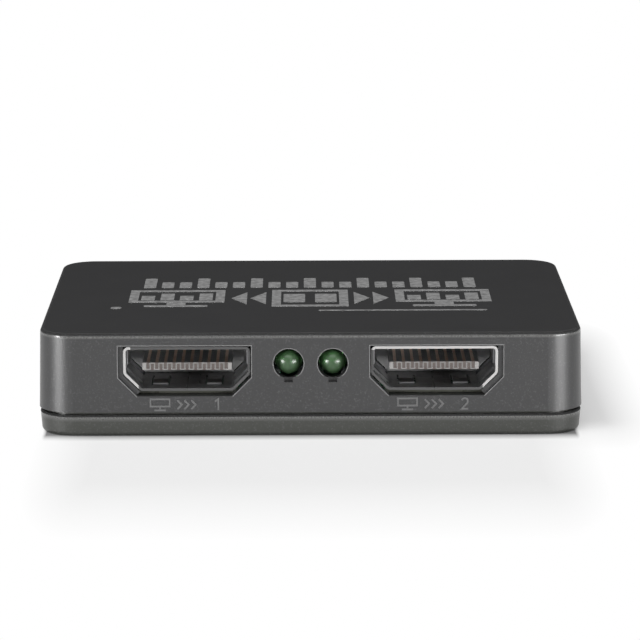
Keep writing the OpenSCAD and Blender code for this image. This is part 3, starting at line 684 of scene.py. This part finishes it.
SOCKET_BLOCK_MOUTH = MouthTone((0.19, 0.185, 0.18), 0.5, 1.03 * MM)
CONTACT_MOUTH = MouthTone((0.14, 0.122, 0.115), 0.45, 1.2 * MM)
FINISHES: dict[Slot | Extra, Finish] = {
    Slot.HOUSING: MouldedPlastic(),
    Slot.SCREW: BareMetal((0.6, 0.61, 0.62), 0.3),
    Slot.BOARD: BoardLaminate(),
    # The shells' lips carry a painted reflection, bright further out than this x.
    Slot.SHELL: SocketMetal((0.26, 0.26, 0.265), 0.36, glint_x=20.7 * MM),
    # Lighter than black plastic: painted light for the shade inside the sockets; the same finish serves the
    # bases of the crystal and the capacitors.
    Slot.SOCKET: FineResin((0.18, 0.18, 0.18), 0.42, mouth=SOCKET_BLOCK_MOUTH),
    Slot.GOLD: SocketMetal((0.8, 0.6, 0.48), 0.34, lines=(9000.0, 700.0, 9000.0), mouth=CONTACT_MOUTH),
    Slot.LENS: TintedLens(),
    Slot.TIN: BareMetal((0.66, 0.67, 0.69), 0.36, tarnish=0.7),
    Slot.CHIP: FineResin((0.018, 0.018, 0.019), 0.55),
    Slot.CAN: BareMetal((0.78, 0.79, 0.8), 0.28, lines=(9000.0, 9000.0, 800.0)),
    Slot.FERRITE: FineResin((0.045, 0.045, 0.048), 0.7, contrast=0.3),
    Slot.COPPER: WoundWire(),
    Slot.CERAMIC: FineResin((0.42, 0.3, 0.17), 0.45, contrast=0.2),
    Extra.INK: PrintedInk(),
    # Pale lines round the openings: a painted highlight.
    Extra.RIM_HIGHLIGHT: FineResin((0.115, 0.115, 0.115), 0.38),
    # Raised marks, lighter than the housing plastic they stand on: a painted highlight.
    Extra.RAISED: FineResin((0.075, 0.075, 0.075), 0.34),
}


@dataclass
class Paints:
    """The finished materials, each built once when it is first asked for."""

    made: dict[Slot | Extra, bpy.types.Material] = field(default_factory=dict)

    def of(self, kind: Slot | Extra) -> bpy.types.Material:
        """Gives the material of a slot or of a finish that only new pieces have.

        Args:
            kind: The record's slot, or the extra finish.

        Returns:
            The material.
        """
        if kind not in self.made:
            self.made[kind] = FINISHES[kind].build(kind.value + "_finish")
        return self.made[kind]


def mesh_of(name: str, bm: Draft) -> bpy.types.Mesh:
    """Makes a mesh of a finished bmesh, with its faces pointing outwards.

    Args:
        name: The mesh's name.
        bm: The bmesh. It is freed.

    Returns:
        The mesh.
    """
    bmesh.ops.recalc_face_normals(bm, faces=bm.faces)
    mesh = bpy.data.meshes.new(name)
    bm.to_mesh(mesh)
    bm.free()
    return mesh


def put(name: str, data: bpy.types.ID) -> bpy.types.Object:
    """Puts an object into the scene.

    Args:
        name: The object's name.
        data: Its mesh, lamp or camera.

    Returns:
        The object.
    """
    made = bpy.data.objects.new(name, data)
    bpy.context.scene.collection.objects.link(made)
    return made


@dataclass
class Assembly:
    """What every sub-assembly of the splitter shares: dressing CAD nodes and adding pieces."""

    paints: Paints

    def nodes(self) -> dict[str, Slot]:
        """Names the assembly's CAD nodes with the slot of each."""
        raise NotImplementedError

    def dress(self) -> None:
        """Gives each of the assembly's CAD nodes its finish."""
        for name, slot in self.nodes().items():
            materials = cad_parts[name].data.materials
            for i in range(len(materials)):
                materials[i] = self.paints.of(slot)
            LOG.info("%s is dressed in %s", name, slot.value)

    def add_piece(self, name: str, bm: Draft, slot: Slot, finish: Slot | Extra) -> None:
        """Makes a piece of a finished bmesh and lets it ride on the body.

        Args:
            name: The piece's name.
            bm: Its mesh, in place. It is freed.
            slot: The record's slot that it belongs to. It is not used.
            finish: What it is dressed in.
        """
        mesh = mesh_of(name, bm)
        mesh.materials.append(self.paints.of(finish))
        piece = put(name, mesh)
        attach(piece, "root")
        LOG.info("%s has %d faces", name, len(mesh.polygons))


def round_off(bm: Draft, geom: list, affect: str, radius: float, steps: int) -> None:
    """Rounds corners or edges.

    Args:
        bm: The bmesh.
        geom: The vertices or edges.
        affect: VERTICES or EDGES.
        radius: The radius of the rounding.
        steps: How many faces it has.
    """
    bmesh.ops.bevel(
        bm, geom=geom, affect=affect, offset=radius, offset_type="OFFSET",
        segments=steps, profile=0.5, material=-1,
    )


def raise_faces(bm: Draft, faces: list[bmesh.types.BMFace], rise: Vector) -> None:
    """Extrudes faces into a solid.

    Args:
        bm: The bmesh.
        faces: The faces.
        rise: How far they move, and which way.
    """
    raised = bmesh.ops.extrude_face_region(bm, geom=faces)["geom"]
    bmesh.ops.translate(bm, verts=[v for v in raised if isinstance(v, bmesh.types.BMVert)], vec=rise)


@dataclass(frozen=True)
class Line:
    """A flat line of even width, drawn in a plane and raised from it."""

    width: float
    thickness: float
    plane: Matrix

    def draw(self, bm: Draft, points: list[Point], closed: bool = False) -> None:
        """Draws the line through points, mitred where it turns.

        Args:
            bm: The bmesh that it joins.
            points: Where it runs, in the plane's X and Y.
            closed: Whether its end joins its start.
        """
        path = [Vector(p) for p in points]
        last = len(path) - 1
        rails = []
        for i, here in enumerate(path):
            before = path[i - 1] if closed or i > 0 else 2 * here - path[1]
            after = path[(i + 1) % len(path)] if closed or i < last else 2 * here - path[i - 1]
            into, out = (here - before).normalized(), (after - here).normalized()
            across = (into + out).normalized().orthogonal()
            half = self.width / 2 / abs(across.dot(into.orthogonal()))
            ends = [here + side * half * across for side in (1, -1)]
            rails.append([bm.verts.new(self.plane @ Vector((*end, 0.0))) for end in ends])
        pairs = zip(rails, rails[1:] + rails[:1] if closed else rails[1:])
        faces = [bm.faces.new((a[0], a[1], b[1], b[0])) for a, b in pairs]
        raise_faces(bm, faces, self.plane.to_3x3() @ Vector((0, 0, self.thickness)))

    def draw_frame(self, bm: Draft, width: float, depth: float) -> None:
        """Draws a rectangle about the plane's origin.

        Args:
            bm: The bmesh that it joins.
            width: Its outer width.
            depth: Its outer depth.
        """
        across, up = (width - self.width) / 2, (depth - self.width) / 2
        self.draw(bm, [(-across, -up), (across, -up), (across, up), (-across, up)], closed=True)


def wall_plane(x: float, z: float, side: Side, sunk: float) -> Matrix:
    """Gives the plane of the front or rear wall, leant back by its draft.

    Args:
        x: Where the plane's origin is along X.
        z: Its height.
        side: The wall.
        sunk: How far the plane lies under the wall's outside.

    Returns:
        The plane, whose Z points out of the wall and whose Y points up it.
    """
    low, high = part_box("upper_housing")
    out = high.y - math.tan(SIDE_DRAFT) * (z - low.z) - sunk
    turn = Matrix.Rotation(math.radians(180) if side is Side.REAR else 0.0, 4, "Z")
    lean = Matrix.Rotation(math.radians(90) - SIDE_DRAFT, 4, "X")
    return Matrix.Translation((x, side.value * out, z)) @ turn @ lean


@dataclass(frozen=True)
class SocketRim:
    """A painted highlight along the edge of a socket's opening: a rectangle with slanted lower corners,
    open below.

    The opening's middle lies further out than the shell's by shift, and lower by drop.
    The shell is as high as tall, its slants begin as high up its sides as slant, and it
    is folded from sheet of that thickness. The line runs outside it by gap.
    """

    shift: float = 0.0
    drop: float = 0.22 * MM
    gap: float = 0.41 * MM
    width: float = 0.09 * MM
    proud: float = 0.02 * MM
    sunk: float = 0.05 * MM
    tall: float = 5.15 * MM
    slant: float = 1.8 * MM
    sheet: float = 0.3 * MM

    def plane(self, shell: Box, side: Side, sunk: float) -> Matrix:
        """Gives the wall's plane about the middle of the opening.

        Args:
            shell: The box of the socket's shell.
            side: The wall.
            sunk: How far the plane lies under the wall's outside.

        Returns:
            The plane.
        """
        low, high = shell
        x = (low.x + high.x) / 2
        return wall_plane(x + math.copysign(self.shift, x), high.z - self.tall / 2 - self.drop, side, sunk)

    def half_path(self, shell: Box, gap: float) -> list[Point]:
        """Gives the right half of a line round the shell, from its top down.

        Args:
            shell: The box of the socket's shell.
            gap: How far the line lies outside the shell.

        Returns:
            The upper corner and the two ends of the slant.
        """
        half_w = (shell[1].x - shell[0].x) / 2 + gap
        half_h = self.tall / 2 + gap
        cut = self.slant + (self.sheet + gap) * (2 - math.sqrt(2))
        return [(half_w, half_h), (half_w, cut - half_h), (half_w - cut, -half_h)]

    def draw(self, bm: Draft, shell: Box, side: Side) -> None:
        """Draws the edge into a bmesh.

        Args:
            bm: The bmesh.
            shell: The box of the socket's shell.
            side: The wall that it is in.
        """
        right = self.half_path(shell, self.gap)
        left = [(-x, z) for x, z in right]
        line = Line(self.width, self.sunk + self.proud, self.plane(shell, side, self.sunk))
        line.draw(bm, left[::-1] + right)


@dataclass(frozen=True)
class OutputRim(SocketRim):
    """The painted highlight round an output's opening, which also has a narrow step towards the box's end.
    """

    shift: float = 0.25 * MM
    ledge_gap: float = 0.065 * MM
    ledge_width: float = 0.57 * MM
    ledge_sunk: float = 0.5 * MM
    ledge_thick: float = 0.15 * MM

    def draw_ledge(self, bm: Draft, shell: Box, side: Side) -> None:
        """Draws the step between the wall and the shell.

        Args:
            bm: The bmesh.
            shell: The box of the socket's shell.
            side: The wall that it is in.
        """
        outward = math.copysign(1.0, shell[0].x + shell[1].x)
        top, *slant = self.half_path(shell, self.ledge_gap)
        path = [(top[0], top[1] + self.gap - self.ledge_gap), *slant]
        line = Line(self.ledge_width, self.ledge_thick, self.plane(shell, side, self.ledge_sunk))
        line.draw(bm, [(outward * x, z) for x, z in path])


@dataclass(frozen=True)
class LampRim:
    """A painted highlight along the edge of a lamp's hole, open at the notch under it."""

    radius: float = 1.79 * MM
    open_half: float = math.radians(36)
    steps: int = 32
    width: float = 0.08 * MM
    proud: float = 0.02 * MM
    sunk: float = 0.05 * MM

    def draw(self, bm: Draft, lens: Box, side: Side) -> None:
        """Draws the edge into a bmesh.

        Args:
            bm: The bmesh.
            lens: The box of the lamp's lens.
            side: The wall that it is in.
        """
        middle = (lens[0] + lens[1]) / 2
        plane = wall_plane(middle.x, middle.z, side, self.sunk)
        start = math.radians(-90) + self.open_half
        turn = (math.tau - 2 * self.open_half) / self.steps
        angles = (start + turn * i for i in range(self.steps + 1))
        points = [(self.radius * math.cos(a), self.radius * math.sin(a)) for a in angles]
        Line(self.width, self.sunk + self.proud, plane).draw(bm, points)


# The numerals' points, as shares of a mark's height.
NUMERAL_ONE = [(-0.22, 0.28), (0.08, 0.5), (0.08, -0.5)]
BOWL_RADIUS, BOWL_Z = 0.27, 0.23
BOWL_ANGLES = [math.radians(a) for a in range(165, -46, -30)]
BOWL = [(BOWL_RADIUS * math.cos(a), BOWL_Z + BOWL_RADIUS * math.sin(a)) for a in BOWL_ANGLES]
NUMERAL_TWO = [*BOWL, (-0.27, -0.46), (0.3, -0.46)]


@dataclass(frozen=True)
class OutputMark:
    """The raised mark under an output: a screen on its foot, three chevrons and a numeral."""

    numeral: list[Point]
    middle_z: float = 3.76 * MM
    tall: float = 1.3 * MM
    line_w: float = 0.2 * MM
    proud: float = 0.07 * MM
    sunk: float = 0.03 * MM
    screen_x: float = -3.1 * MM
    screen_half_w: float = 1.1 * MM
    screen_low_share: float = 0.3
    foot_share: float = 0.6
    chevrons: int = 3
    chevron_x: float = -0.6 * MM
    chevron_step: float = 0.8 * MM
    chevron_deep: float = 0.5 * MM
    chevron_share: float = 0.8
    numeral_x: float = 3.5 * MM

    def draw(self, bm: Draft, shell: Box) -> None:
        """Draws the mark into a bmesh.

        Args:
            bm: The bmesh.
            shell: The box of the output's shell.
        """
        plane = wall_plane((shell[0].x + shell[1].x) / 2, self.middle_z, Side.FRONT, self.sunk)
        line = Line(self.line_w, self.sunk + self.proud, plane)
        half = self.tall / 2
        left, right = self.screen_x - self.screen_half_w, self.screen_x + self.screen_half_w
        low = -self.screen_low_share * half
        line.draw(bm, [(left, low), (right, low), (right, half), (left, half)], closed=True)
        foot = self.foot_share * self.screen_half_w
        line.draw(bm, [(self.screen_x - foot, -half), (self.screen_x + foot, -half)])
        line.draw(bm, [(self.screen_x, self.line_w / 2 - half), (self.screen_x, low - self.line_w / 2)])
        wing = self.chevron_share * half
        for step in range(self.chevrons):
            tip = self.chevron_x + self.chevron_step * step
            back = tip - self.chevron_deep
            line.draw(bm, [(back, wing), (tip, 0.0), (back, -wing)])
        line.draw(bm, [(self.numeral_x + self.tall * x, self.tall * z) for x, z in self.numeral])


@dataclass(frozen=True)
class TopPrint:
    """The diagram on the top: a front row with a box, arrows and two screens, and a row of bars.

    What ends in share is a share of the front row's depth, of a screen's width or of the
    pitch at which tiles or bars follow each other.
    """

    top: float
    ink: float = 0.012 * MM
    corner: float = 0.25 * MM
    corner_steps: int = 3
    border: float = 1.1 * MM
    half_w: float = 21.8 * MM
    front_y: Point = (-7.4 * MM, 2.9 * MM)
    rear_y: Point = (4.3 * MM, 10.4 * MM)
    screen_w: float = 11.5 * MM
    screen_low_share: float = 0.26
    neck_shares: Triple = (0.2, 0.17, 0.16)
    foot_shares: Triple = (0.66, 0.05, 0.1)
    tiles: int = 4
    tile_lift: float = 0.3 * MM
    tile_w_share: float = 0.7
    tile_shares: Point = (0.5, 0.75)
    arrows: int = 2
    arrow_x: float = 7.2 * MM
    arrow_step: float = 2.3 * MM
    arrow_deep: float = 1.9 * MM
    arrow_share: float = 0.36
    box_w: float = 9.2 * MM
    cell_x: float = 1.9 * MM
    cell_w: float = 2.6 * MM
    cell_share: float = 0.5
    bars: int = 19
    bars_share: float = 0.9
    bar_w_share: float = 0.68
    long_bar_every: int = 3
    short_bar_share: float = 0.6
    rule_x: Point = (1.0 * MM, 21.0 * MM)
    rule_y: Point = (-10.0 * MM, -9.4 * MM)
    dot: float = 1.3 * MM
    dot_at: Point = (-23.1 * MM, -7.9 * MM)
    dot_corner_share: float = 0.4

    def plate(self, bm: Draft, centre: Point, size: Point, corner: float = 0.0) -> None:
        """Adds an inked rectangle.

        Args:
            bm: The bmesh that it joins.
            centre: Its middle.
            size: Its width and depth.
            corner: The radius of its corners.
        """
        shift = Matrix.Translation((*centre, self.top + self.ink / 2))
        scale = Matrix.Diagonal((*size, self.ink, 1.0))
        verts = bmesh.ops.create_cube(bm, size=1.0, matrix=shift @ scale)["verts"]
        if corner:
            edges = {e for v in verts for e in v.link_edges}
            upright = [e for e in edges if abs(e.verts[0].co.z - e.verts[1].co.z) > self.ink / 2]
            round_off(bm, upright, "EDGES", corner, self.corner_steps)

    def outline(self, bm: Draft, centre: Point, width: float, depth: float) -> None:
        """Adds an inked frame round a rectangle.

        Args:
            bm: The bmesh that it joins.
            centre: Its middle.
            width: Its outer width.
            depth: Its outer depth.
        """
        Line(self.border, self.ink, Matrix.Translation((*centre, self.top))).draw_frame(bm, width, depth)

    def screen(self, bm: Draft, x: float) -> None:
        """Adds a screen: a frame round a row of tiles, on a neck and a foot.

        Args:
            bm: The bmesh that it joins.
            x: Its middle.
        """
        low, high = self.front_y
        deep = high - low
        face_low = low + self.screen_low_share * deep
        face_deep = high - face_low
        self.outline(bm, (x, (face_low + high) / 2), self.screen_w, face_deep)
        pitch = (self.screen_w - 2 * self.border) / self.tiles
        for i in range(self.tiles):
            tile_deep = self.tile_shares[i % 2] * (face_deep - 2 * self.border)
            tile_x = x + (i - (self.tiles - 1) / 2) * pitch
            tile_y = face_low + self.border + self.tile_lift + tile_deep / 2
            self.plate(bm, (tile_x, tile_y), (self.tile_w_share * pitch, tile_deep))
        for shares, corner in ((self.neck_shares, 0.0), (self.foot_shares, self.corner)):
            width, middle, depth = shares
            self.plate(bm, (x, low + middle * deep), (width * self.screen_w, depth * deep), corner)

    def arrow(self, bm: Draft, tip: float, side: int) -> None:
        """Adds an arrow head that points to a side.

        Args:
            bm: The bmesh that it joins.
            tip: Where its tip is along X.
            side: 1 for the right and -1 for the left.
        """
        low, high = self.front_y
        middle, wing = (low + high) / 2, self.arrow_share * (high - low)
        back = tip - side * self.arrow_deep
        points = [(back, middle - wing), (tip, middle), (back, middle + wing)]
        face = bm.faces.new([bm.verts.new((*point, self.top)) for point in points])
        raise_faces(bm, [face], Vector((0, 0, self.ink)))

    def draw(self, bm: Draft) -> None:
        """Draws the rows, the rule and the dot.

        Args:
            bm: The bmesh.
        """
        low, high = self.front_y
        middle, deep = (low + high) / 2, high - low
        for side in (-1, 1):
            self.screen(bm, side * (self.half_w - self.screen_w / 2))
            for step in range(self.arrows):
                self.arrow(bm, side * (self.arrow_x + self.arrow_step * step), side)
            self.plate(bm, (side * self.cell_x, middle), (self.cell_w, self.cell_share * deep), self.corner)
        self.outline(bm, (0.0, middle), self.box_w, deep)
        near, far = self.rear_y
        pitch = 2 * self.bars_share * self.half_w / (self.bars - 1)
        for i in range(self.bars):
            bar_deep = (far - near) * (self.short_bar_share if i % self.long_bar_every else 1.0)
            bar_x = (i - (self.bars - 1) / 2) * pitch
            self.plate(bm, (bar_x, near + bar_deep / 2), (self.bar_w_share * pitch, bar_deep), self.corner)
        (left, right), (rule_low, rule_high) = self.rule_x, self.rule_y
        rule_middle = ((left + right) / 2, (rule_low + rule_high) / 2)
        self.plate(bm, rule_middle, (right - left, rule_high - rule_low), self.corner)
        self.plate(bm, self.dot_at, (self.dot, self.dot), self.dot_corner_share * self.dot)


OPENINGS: dict[str, tuple[Side, SocketRim | LampRim]] = {
    "output_1_shell": (Side.FRONT, OutputRim()),
    "output_2_shell": (Side.FRONT, OutputRim()),
    "input_shell": (Side.REAR, SocketRim()),
    "output_1_lamp": (Side.FRONT, LampRim()),
    "output_2_lamp": (Side.FRONT, LampRim()),
}


@dataclass
class Housing(Assembly):
    """The two moulded shells, with the print on the top and the marks under the outputs."""

    print_sunk: float = 0.004 * MM

    def nodes(self) -> dict[str, Slot]:
        """Names the housing's CAD nodes with the slot of each."""
        return {"upper_housing": Slot.HOUSING, "lower_housing": Slot.HOUSING, "housing_screws": Slot.SCREW}

    def edge_openings(self) -> None:
        """Draws a painted highlight line round each opening in the walls, and the steps of the outputs."""
        for name, (side, rim) in OPENINGS.items():
            bm = bmesh.new()
            rim.draw(bm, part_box(name), side)
            self.add_piece(name + "_rim", bm, Slot.HOUSING, Extra.RIM_HIGHLIGHT)
            if isinstance(rim, OutputRim):
                bm = bmesh.new()
                rim.draw_ledge(bm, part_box(name), side)
                self.add_piece(name + "_ledge", bm, Slot.HOUSING, Slot.HOUSING)

    def print_top(self) -> None:
        """Prints a plain diagram on the top: one socket that feeds two screens."""
        bm = bmesh.new()
        TopPrint(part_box("upper_housing")[1].z - self.print_sunk).draw(bm)
        self.add_piece("top_print", bm, Slot.HOUSING, Extra.INK)

    def raise_marks(self) -> None:
        """Raises a mark with the output's number under each output."""
        for number, numeral in enumerate((NUMERAL_ONE, NUMERAL_TWO), start=1):
            bm = bmesh.new()
            OutputMark(numeral).draw(bm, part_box(f"output_{number}_shell"))
            # The marks are dressed lighter than the housing: a painted highlight.
            self.add_piece(f"output_{number}_mark", bm, Slot.HOUSING, Extra.RAISED)


@dataclass
class VideoSocket(Assembly):
    """A socket: its shell, its block with the tongue, and its contacts."""

    name: str

    def nodes(self) -> dict[str, Slot]:
        """Names the socket's CAD nodes with the slot of each."""
        parts = {"_shell": Slot.SHELL, "_insulator": Slot.SOCKET, "_contacts": Slot.GOLD}
        return {self.name + part: slot for part, slot in parts.items()}


@dataclass
class Lamp(Assembly):
    """A lamp: its lens and its two leads."""

    name: str

    def nodes(self) -> dict[str, Slot]:
        """Names the lamp's CAD nodes with the slot of each."""
        return {self.name: Slot.LENS, self.name + "_leads": Slot.TIN}


@dataclass
class Board(Assembly):
    """The circuit board and the parts on it."""

    def nodes(self) -> dict[str, Slot]:
        """Names the board's CAD nodes.

        Returns:
            The slot of each.
        """
        return {
            "circuit_board": Slot.BOARD,
            "splitter_chip": Slot.CHIP, "splitter_chip_leads": Slot.TIN,
            "memory_chip": Slot.CHIP, "memory_chip_leads": Slot.TIN,
            "voltage_regulator": Slot.CHIP, "voltage_regulator_leads": Slot.TIN,
            "crystal_can": Slot.SHELL, "crystal_base": Slot.SOCKET,
            "capacitor_cans": Slot.CAN, "capacitor_can_bases": Slot.SOCKET,
            "coil_core": Slot.FERRITE, "coil_winding": Slot.COPPER,
            "surge_arrays": Slot.CHIP,
            "ceramic_capacitors": Slot.CERAMIC, "ceramic_capacitor_ends": Slot.TIN,
            "resistors": Slot.CHIP, "resistor_ends": Slot.TIN,
        }


@dataclass(frozen=True)
class SoftBox:
    """A rectangular light that faces the object.

    Its azimuth runs from the front towards +X, and its height from the floor upwards. Its
    spread is its width and height as they are seen from the object. All are in degrees.
    Its level is how bright its face is, whatever its size.
    """

    name: str
    azimuth: float
    height: float
    distance: float
    spread: Point
    level: float

    def hang(self) -> None:
        """Hangs the light."""
        turn, rise = math.radians(self.azimuth), math.radians(self.height)
        way = Vector((math.sin(turn) * math.cos(rise), -math.cos(turn) * math.cos(rise), math.sin(rise)))
        width, tall = (2 * self.distance * math.tan(math.radians(angle) / 2) for angle in self.spread)
        data = bpy.data.lights.new(self.name, "AREA")
        data.shape = "RECTANGLE"
        data.size, data.size_y = width, tall
        data.energy = math.pi * width * tall * self.level
        light = put(self.name, data)
        light.location = self.distance * way
        light.rotation_euler = (-way).to_track_quat("-Z", "Y").to_euler()
        LOG.info("%s gives %.2f W", self.name, data.energy)


SOFT_BOXES = [
    SoftBox("key_box", azimuth=-16, height=66, distance=1.1, spread=(64, 40), level=3.8),
    SoftBox("front_fill", azimuth=0, height=24, distance=1.0, spread=(60, 36), level=0.45),
    SoftBox("left_strip", azimuth=-52, height=2.6, distance=0.6, spread=(24, 4.6), level=94.0),
    SoftBox("right_strip", azimuth=46, height=2.6, distance=0.6, spread=(32, 4.6), level=70.0),
    SoftBox("under_box", azimuth=0, height=-90, distance=1.0, spread=(60, 60), level=3.0),
]


@dataclass(frozen=True)
class FloorShade:
    """A painted shadow: a soft patch of the floor that glows less, so that the lamps' shadow on it also
    shows.

    It is a rectangle about its middle, with half its size on each side. Its edge fades
    out over fade, and depth is the share of the glow that it takes.
    """

    middle: Point
    half: Point
    fade: Point
    depth: float

    def build(self, g: Graph) -> Socket:
        """Adds the patch to a graph.

        Args:
            g: The floor's graph.

        Returns:
            The share of the glow that is left.
        """
        squares = []
        for name, middle, half, fade in zip("XY", self.middle, self.half, self.fade):
            off = g.maths("ABSOLUTE", g.maths("SUBTRACT", g.axis(name), middle))
            past = g.maths("DIVIDE", g.maths("MAXIMUM", g.maths("SUBTRACT", off, half), 0.0), fade)
            squares.append(g.times(past, past))
        away = g.maths("SQRT", g.maths("ADD", *squares))
        return g.remap(away, 0.0, 1.0, 1 - self.depth, 1.0)


# Painted shadows: the contact shade also darkens the floor's colour at the box's base; the first cast
# shade, in front of the box, is a painted shadow and painted reflection of the box, and the second, to its
# right and rear, a painted shadow over the lamps' own.
CONTACT_SHADE = FloorShade((0.0, 0.0), (30.6 * MM, 22.1 * MM), (0.5 * MM, 3.0 * MM), 0.9)
CAST_SHADES = [
    FloorShade((0.4 * MM, -30.0 * MM), (25.0 * MM, 14.0 * MM), (7.0 * MM, 24.0 * MM), 0.8),
    FloorShade((4.75 * MM, 6.0 * MM), (29.75 * MM, 22.0 * MM), (5.8 * MM, 14.0 * MM), 0.7),
]


@dataclass(frozen=True)
class Floor:
    """The pale floor, open under the box so that the base shows from below."""

    opening: Point = (60.0 * MM, 43.0 * MM)
    corner: float = 3.5 * MM
    corner_steps: int = 6
    reach: float = 200.0
    white: float = 0.85
    # Colour of the painted contact shadow at the box's base.
    dark: float = 0.1

    def sheet(self) -> bpy.types.Mesh:
        """Makes the floor's mesh.

        Returns:
            The mesh.
        """
        bm = bmesh.new()
        place = Matrix.Diagonal((*self.opening, 1.0, 1.0))
        bmesh.ops.create_grid(bm, x_segments=1, y_segments=1, size=0.5, matrix=place)
        round_off(bm, list(bm.verts), "VERTICES", self.corner, self.corner_steps)
        covered = list(bm.faces)
        rim = bmesh.ops.extrude_edge_only(bm, edges=list(bm.edges))["geom"]
        outer = [v for v in rim if isinstance(v, bmesh.types.BMVert)]
        bmesh.ops.scale(bm, vec=(self.reach,) * 3, verts=outer)
        bmesh.ops.delete(bm, geom=covered, context="FACES_ONLY")
        return mesh_of("floor", bm)

    def paper(self) -> bpy.types.Material:
        """Makes the floor's material, which glows white to the camera but for its painted shadows.

        Returns:
            The material.
        """
        g = Graph("floor_paper")
        contact = CONTACT_SHADE.build(g)
        # The floor's colour darkens towards the box's base: a painted contact shadow.
        paper = g.blend(contact, (self.dark,) * 3, (self.white,) * 3)
        g.set(Base_Color=paper, Roughness=1.0, Specular_IOR_Level=0.0)
        rays = g.add("ShaderNodeLightPath").outputs
        seen = g.maths("ADD", rays["Is Camera Ray"], rays["Is Glossy Ray"])
        seen = g.maths("ADD", seen, rays["Is Transmission Ray"])
        level = g.times(g.maths("MINIMUM", seen, 1.0), contact)
        for patch in CAST_SHADES:
            level = g.times(level, patch.build(g))
        mix = g.add("ShaderNodeMixShader")
        g.feed(mix.inputs["Fac"], level)
        g.feed(mix.inputs[1], g.shader.outputs["BSDF"])
        g.feed(mix.inputs[2], g.add("ShaderNodeEmission").outputs["Emission"])
        g.feed(g.output.inputs["Surface"], mix.outputs["Shader"])
        return g.material

    def lay(self) -> None:
        """Lays the floor."""
        sheet = self.sheet()
        sheet.materials.append(self.paper())
        put("floor", sheet)


@dataclass(frozen=True)
class Studio:
    """Soft lights, an even sky and the photograph's camera."""

    world_level: float = 0.02
    camera_at: Triple = (-0.73 * MM, -395.5 * MM, 90.32 * MM)
    pitch: float = math.radians(11.63)
    yaw: float = math.radians(0.28)
    roll: float = math.radians(-0.16)
    focal_px: float = 3322.0
    image_px: float = 640.0
    sensor: float = 36.0
    clip: Point = (0.01, 50.0)

    def add_world(self) -> None:
        """Sets an even grey sky."""
        world = bpy.data.worlds.new("sky")
        world.use_nodes = True
        sky = next(n for n in world.node_tree.nodes if n.type == "BACKGROUND")
        sky.inputs["Color"].default_value = (1.0, 1.0, 1.0, 1.0)
        sky.inputs["Strength"].default_value = self.world_level
        bpy.context.scene.world = world

    def add_camera(self) -> None:
        """Stands the camera where the photograph was taken from."""
        data = bpy.data.cameras.new("camera")
        data.sensor_fit = "HORIZONTAL"
        data.sensor_width = self.sensor
        data.lens = self.focal_px * self.sensor / self.image_px
        data.clip_start, data.clip_end = self.clip
        level = math.cos(self.pitch)
        ahead = Vector((math.sin(self.yaw) * level, math.cos(self.yaw) * level, -math.sin(self.pitch)))
        right = Vector((math.cos(self.yaw), -math.sin(self.yaw), 0.0))
        up = right.cross(ahead)
        turned_right = math.cos(self.roll) * right + math.sin(self.roll) * up
        turned_up = math.cos(self.roll) * up - math.sin(self.roll) * right
        turn = Matrix((turned_right, turned_up, -ahead)).transposed().to_4x4()
        camera = put("camera", data)
        camera.matrix_world = Matrix.Translation(self.camera_at) @ turn
        bpy.context.scene.camera = camera

    def set_up(self) -> None:
        """Builds the whole studio."""
        Floor().lay()
        self.add_world()
        for box in SOFT_BOXES:
            box.hang()
        self.add_camera()
        bpy.context.scene.view_settings.view_transform = "Standard"


def main() -> None:
    """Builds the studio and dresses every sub-assembly."""
    logging.basicConfig(level=logging.INFO, format="%(name)s: %(message)s")
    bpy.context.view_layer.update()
    Studio().set_up()
    paints = Paints()
    housing = Housing(paints)
    housing.dress()
    housing.print_top()
    housing.raise_marks()
    housing.edge_openings()
    for name in ("output_1", "output_2", "input", "power"):
        VideoSocket(paints, name).dress()
    for name in ("output_1_lamp", "output_2_lamp"):
        Lamp(paints, name).dress()
    Board(paints).dress()


if __name__ == "__main__":
    main()
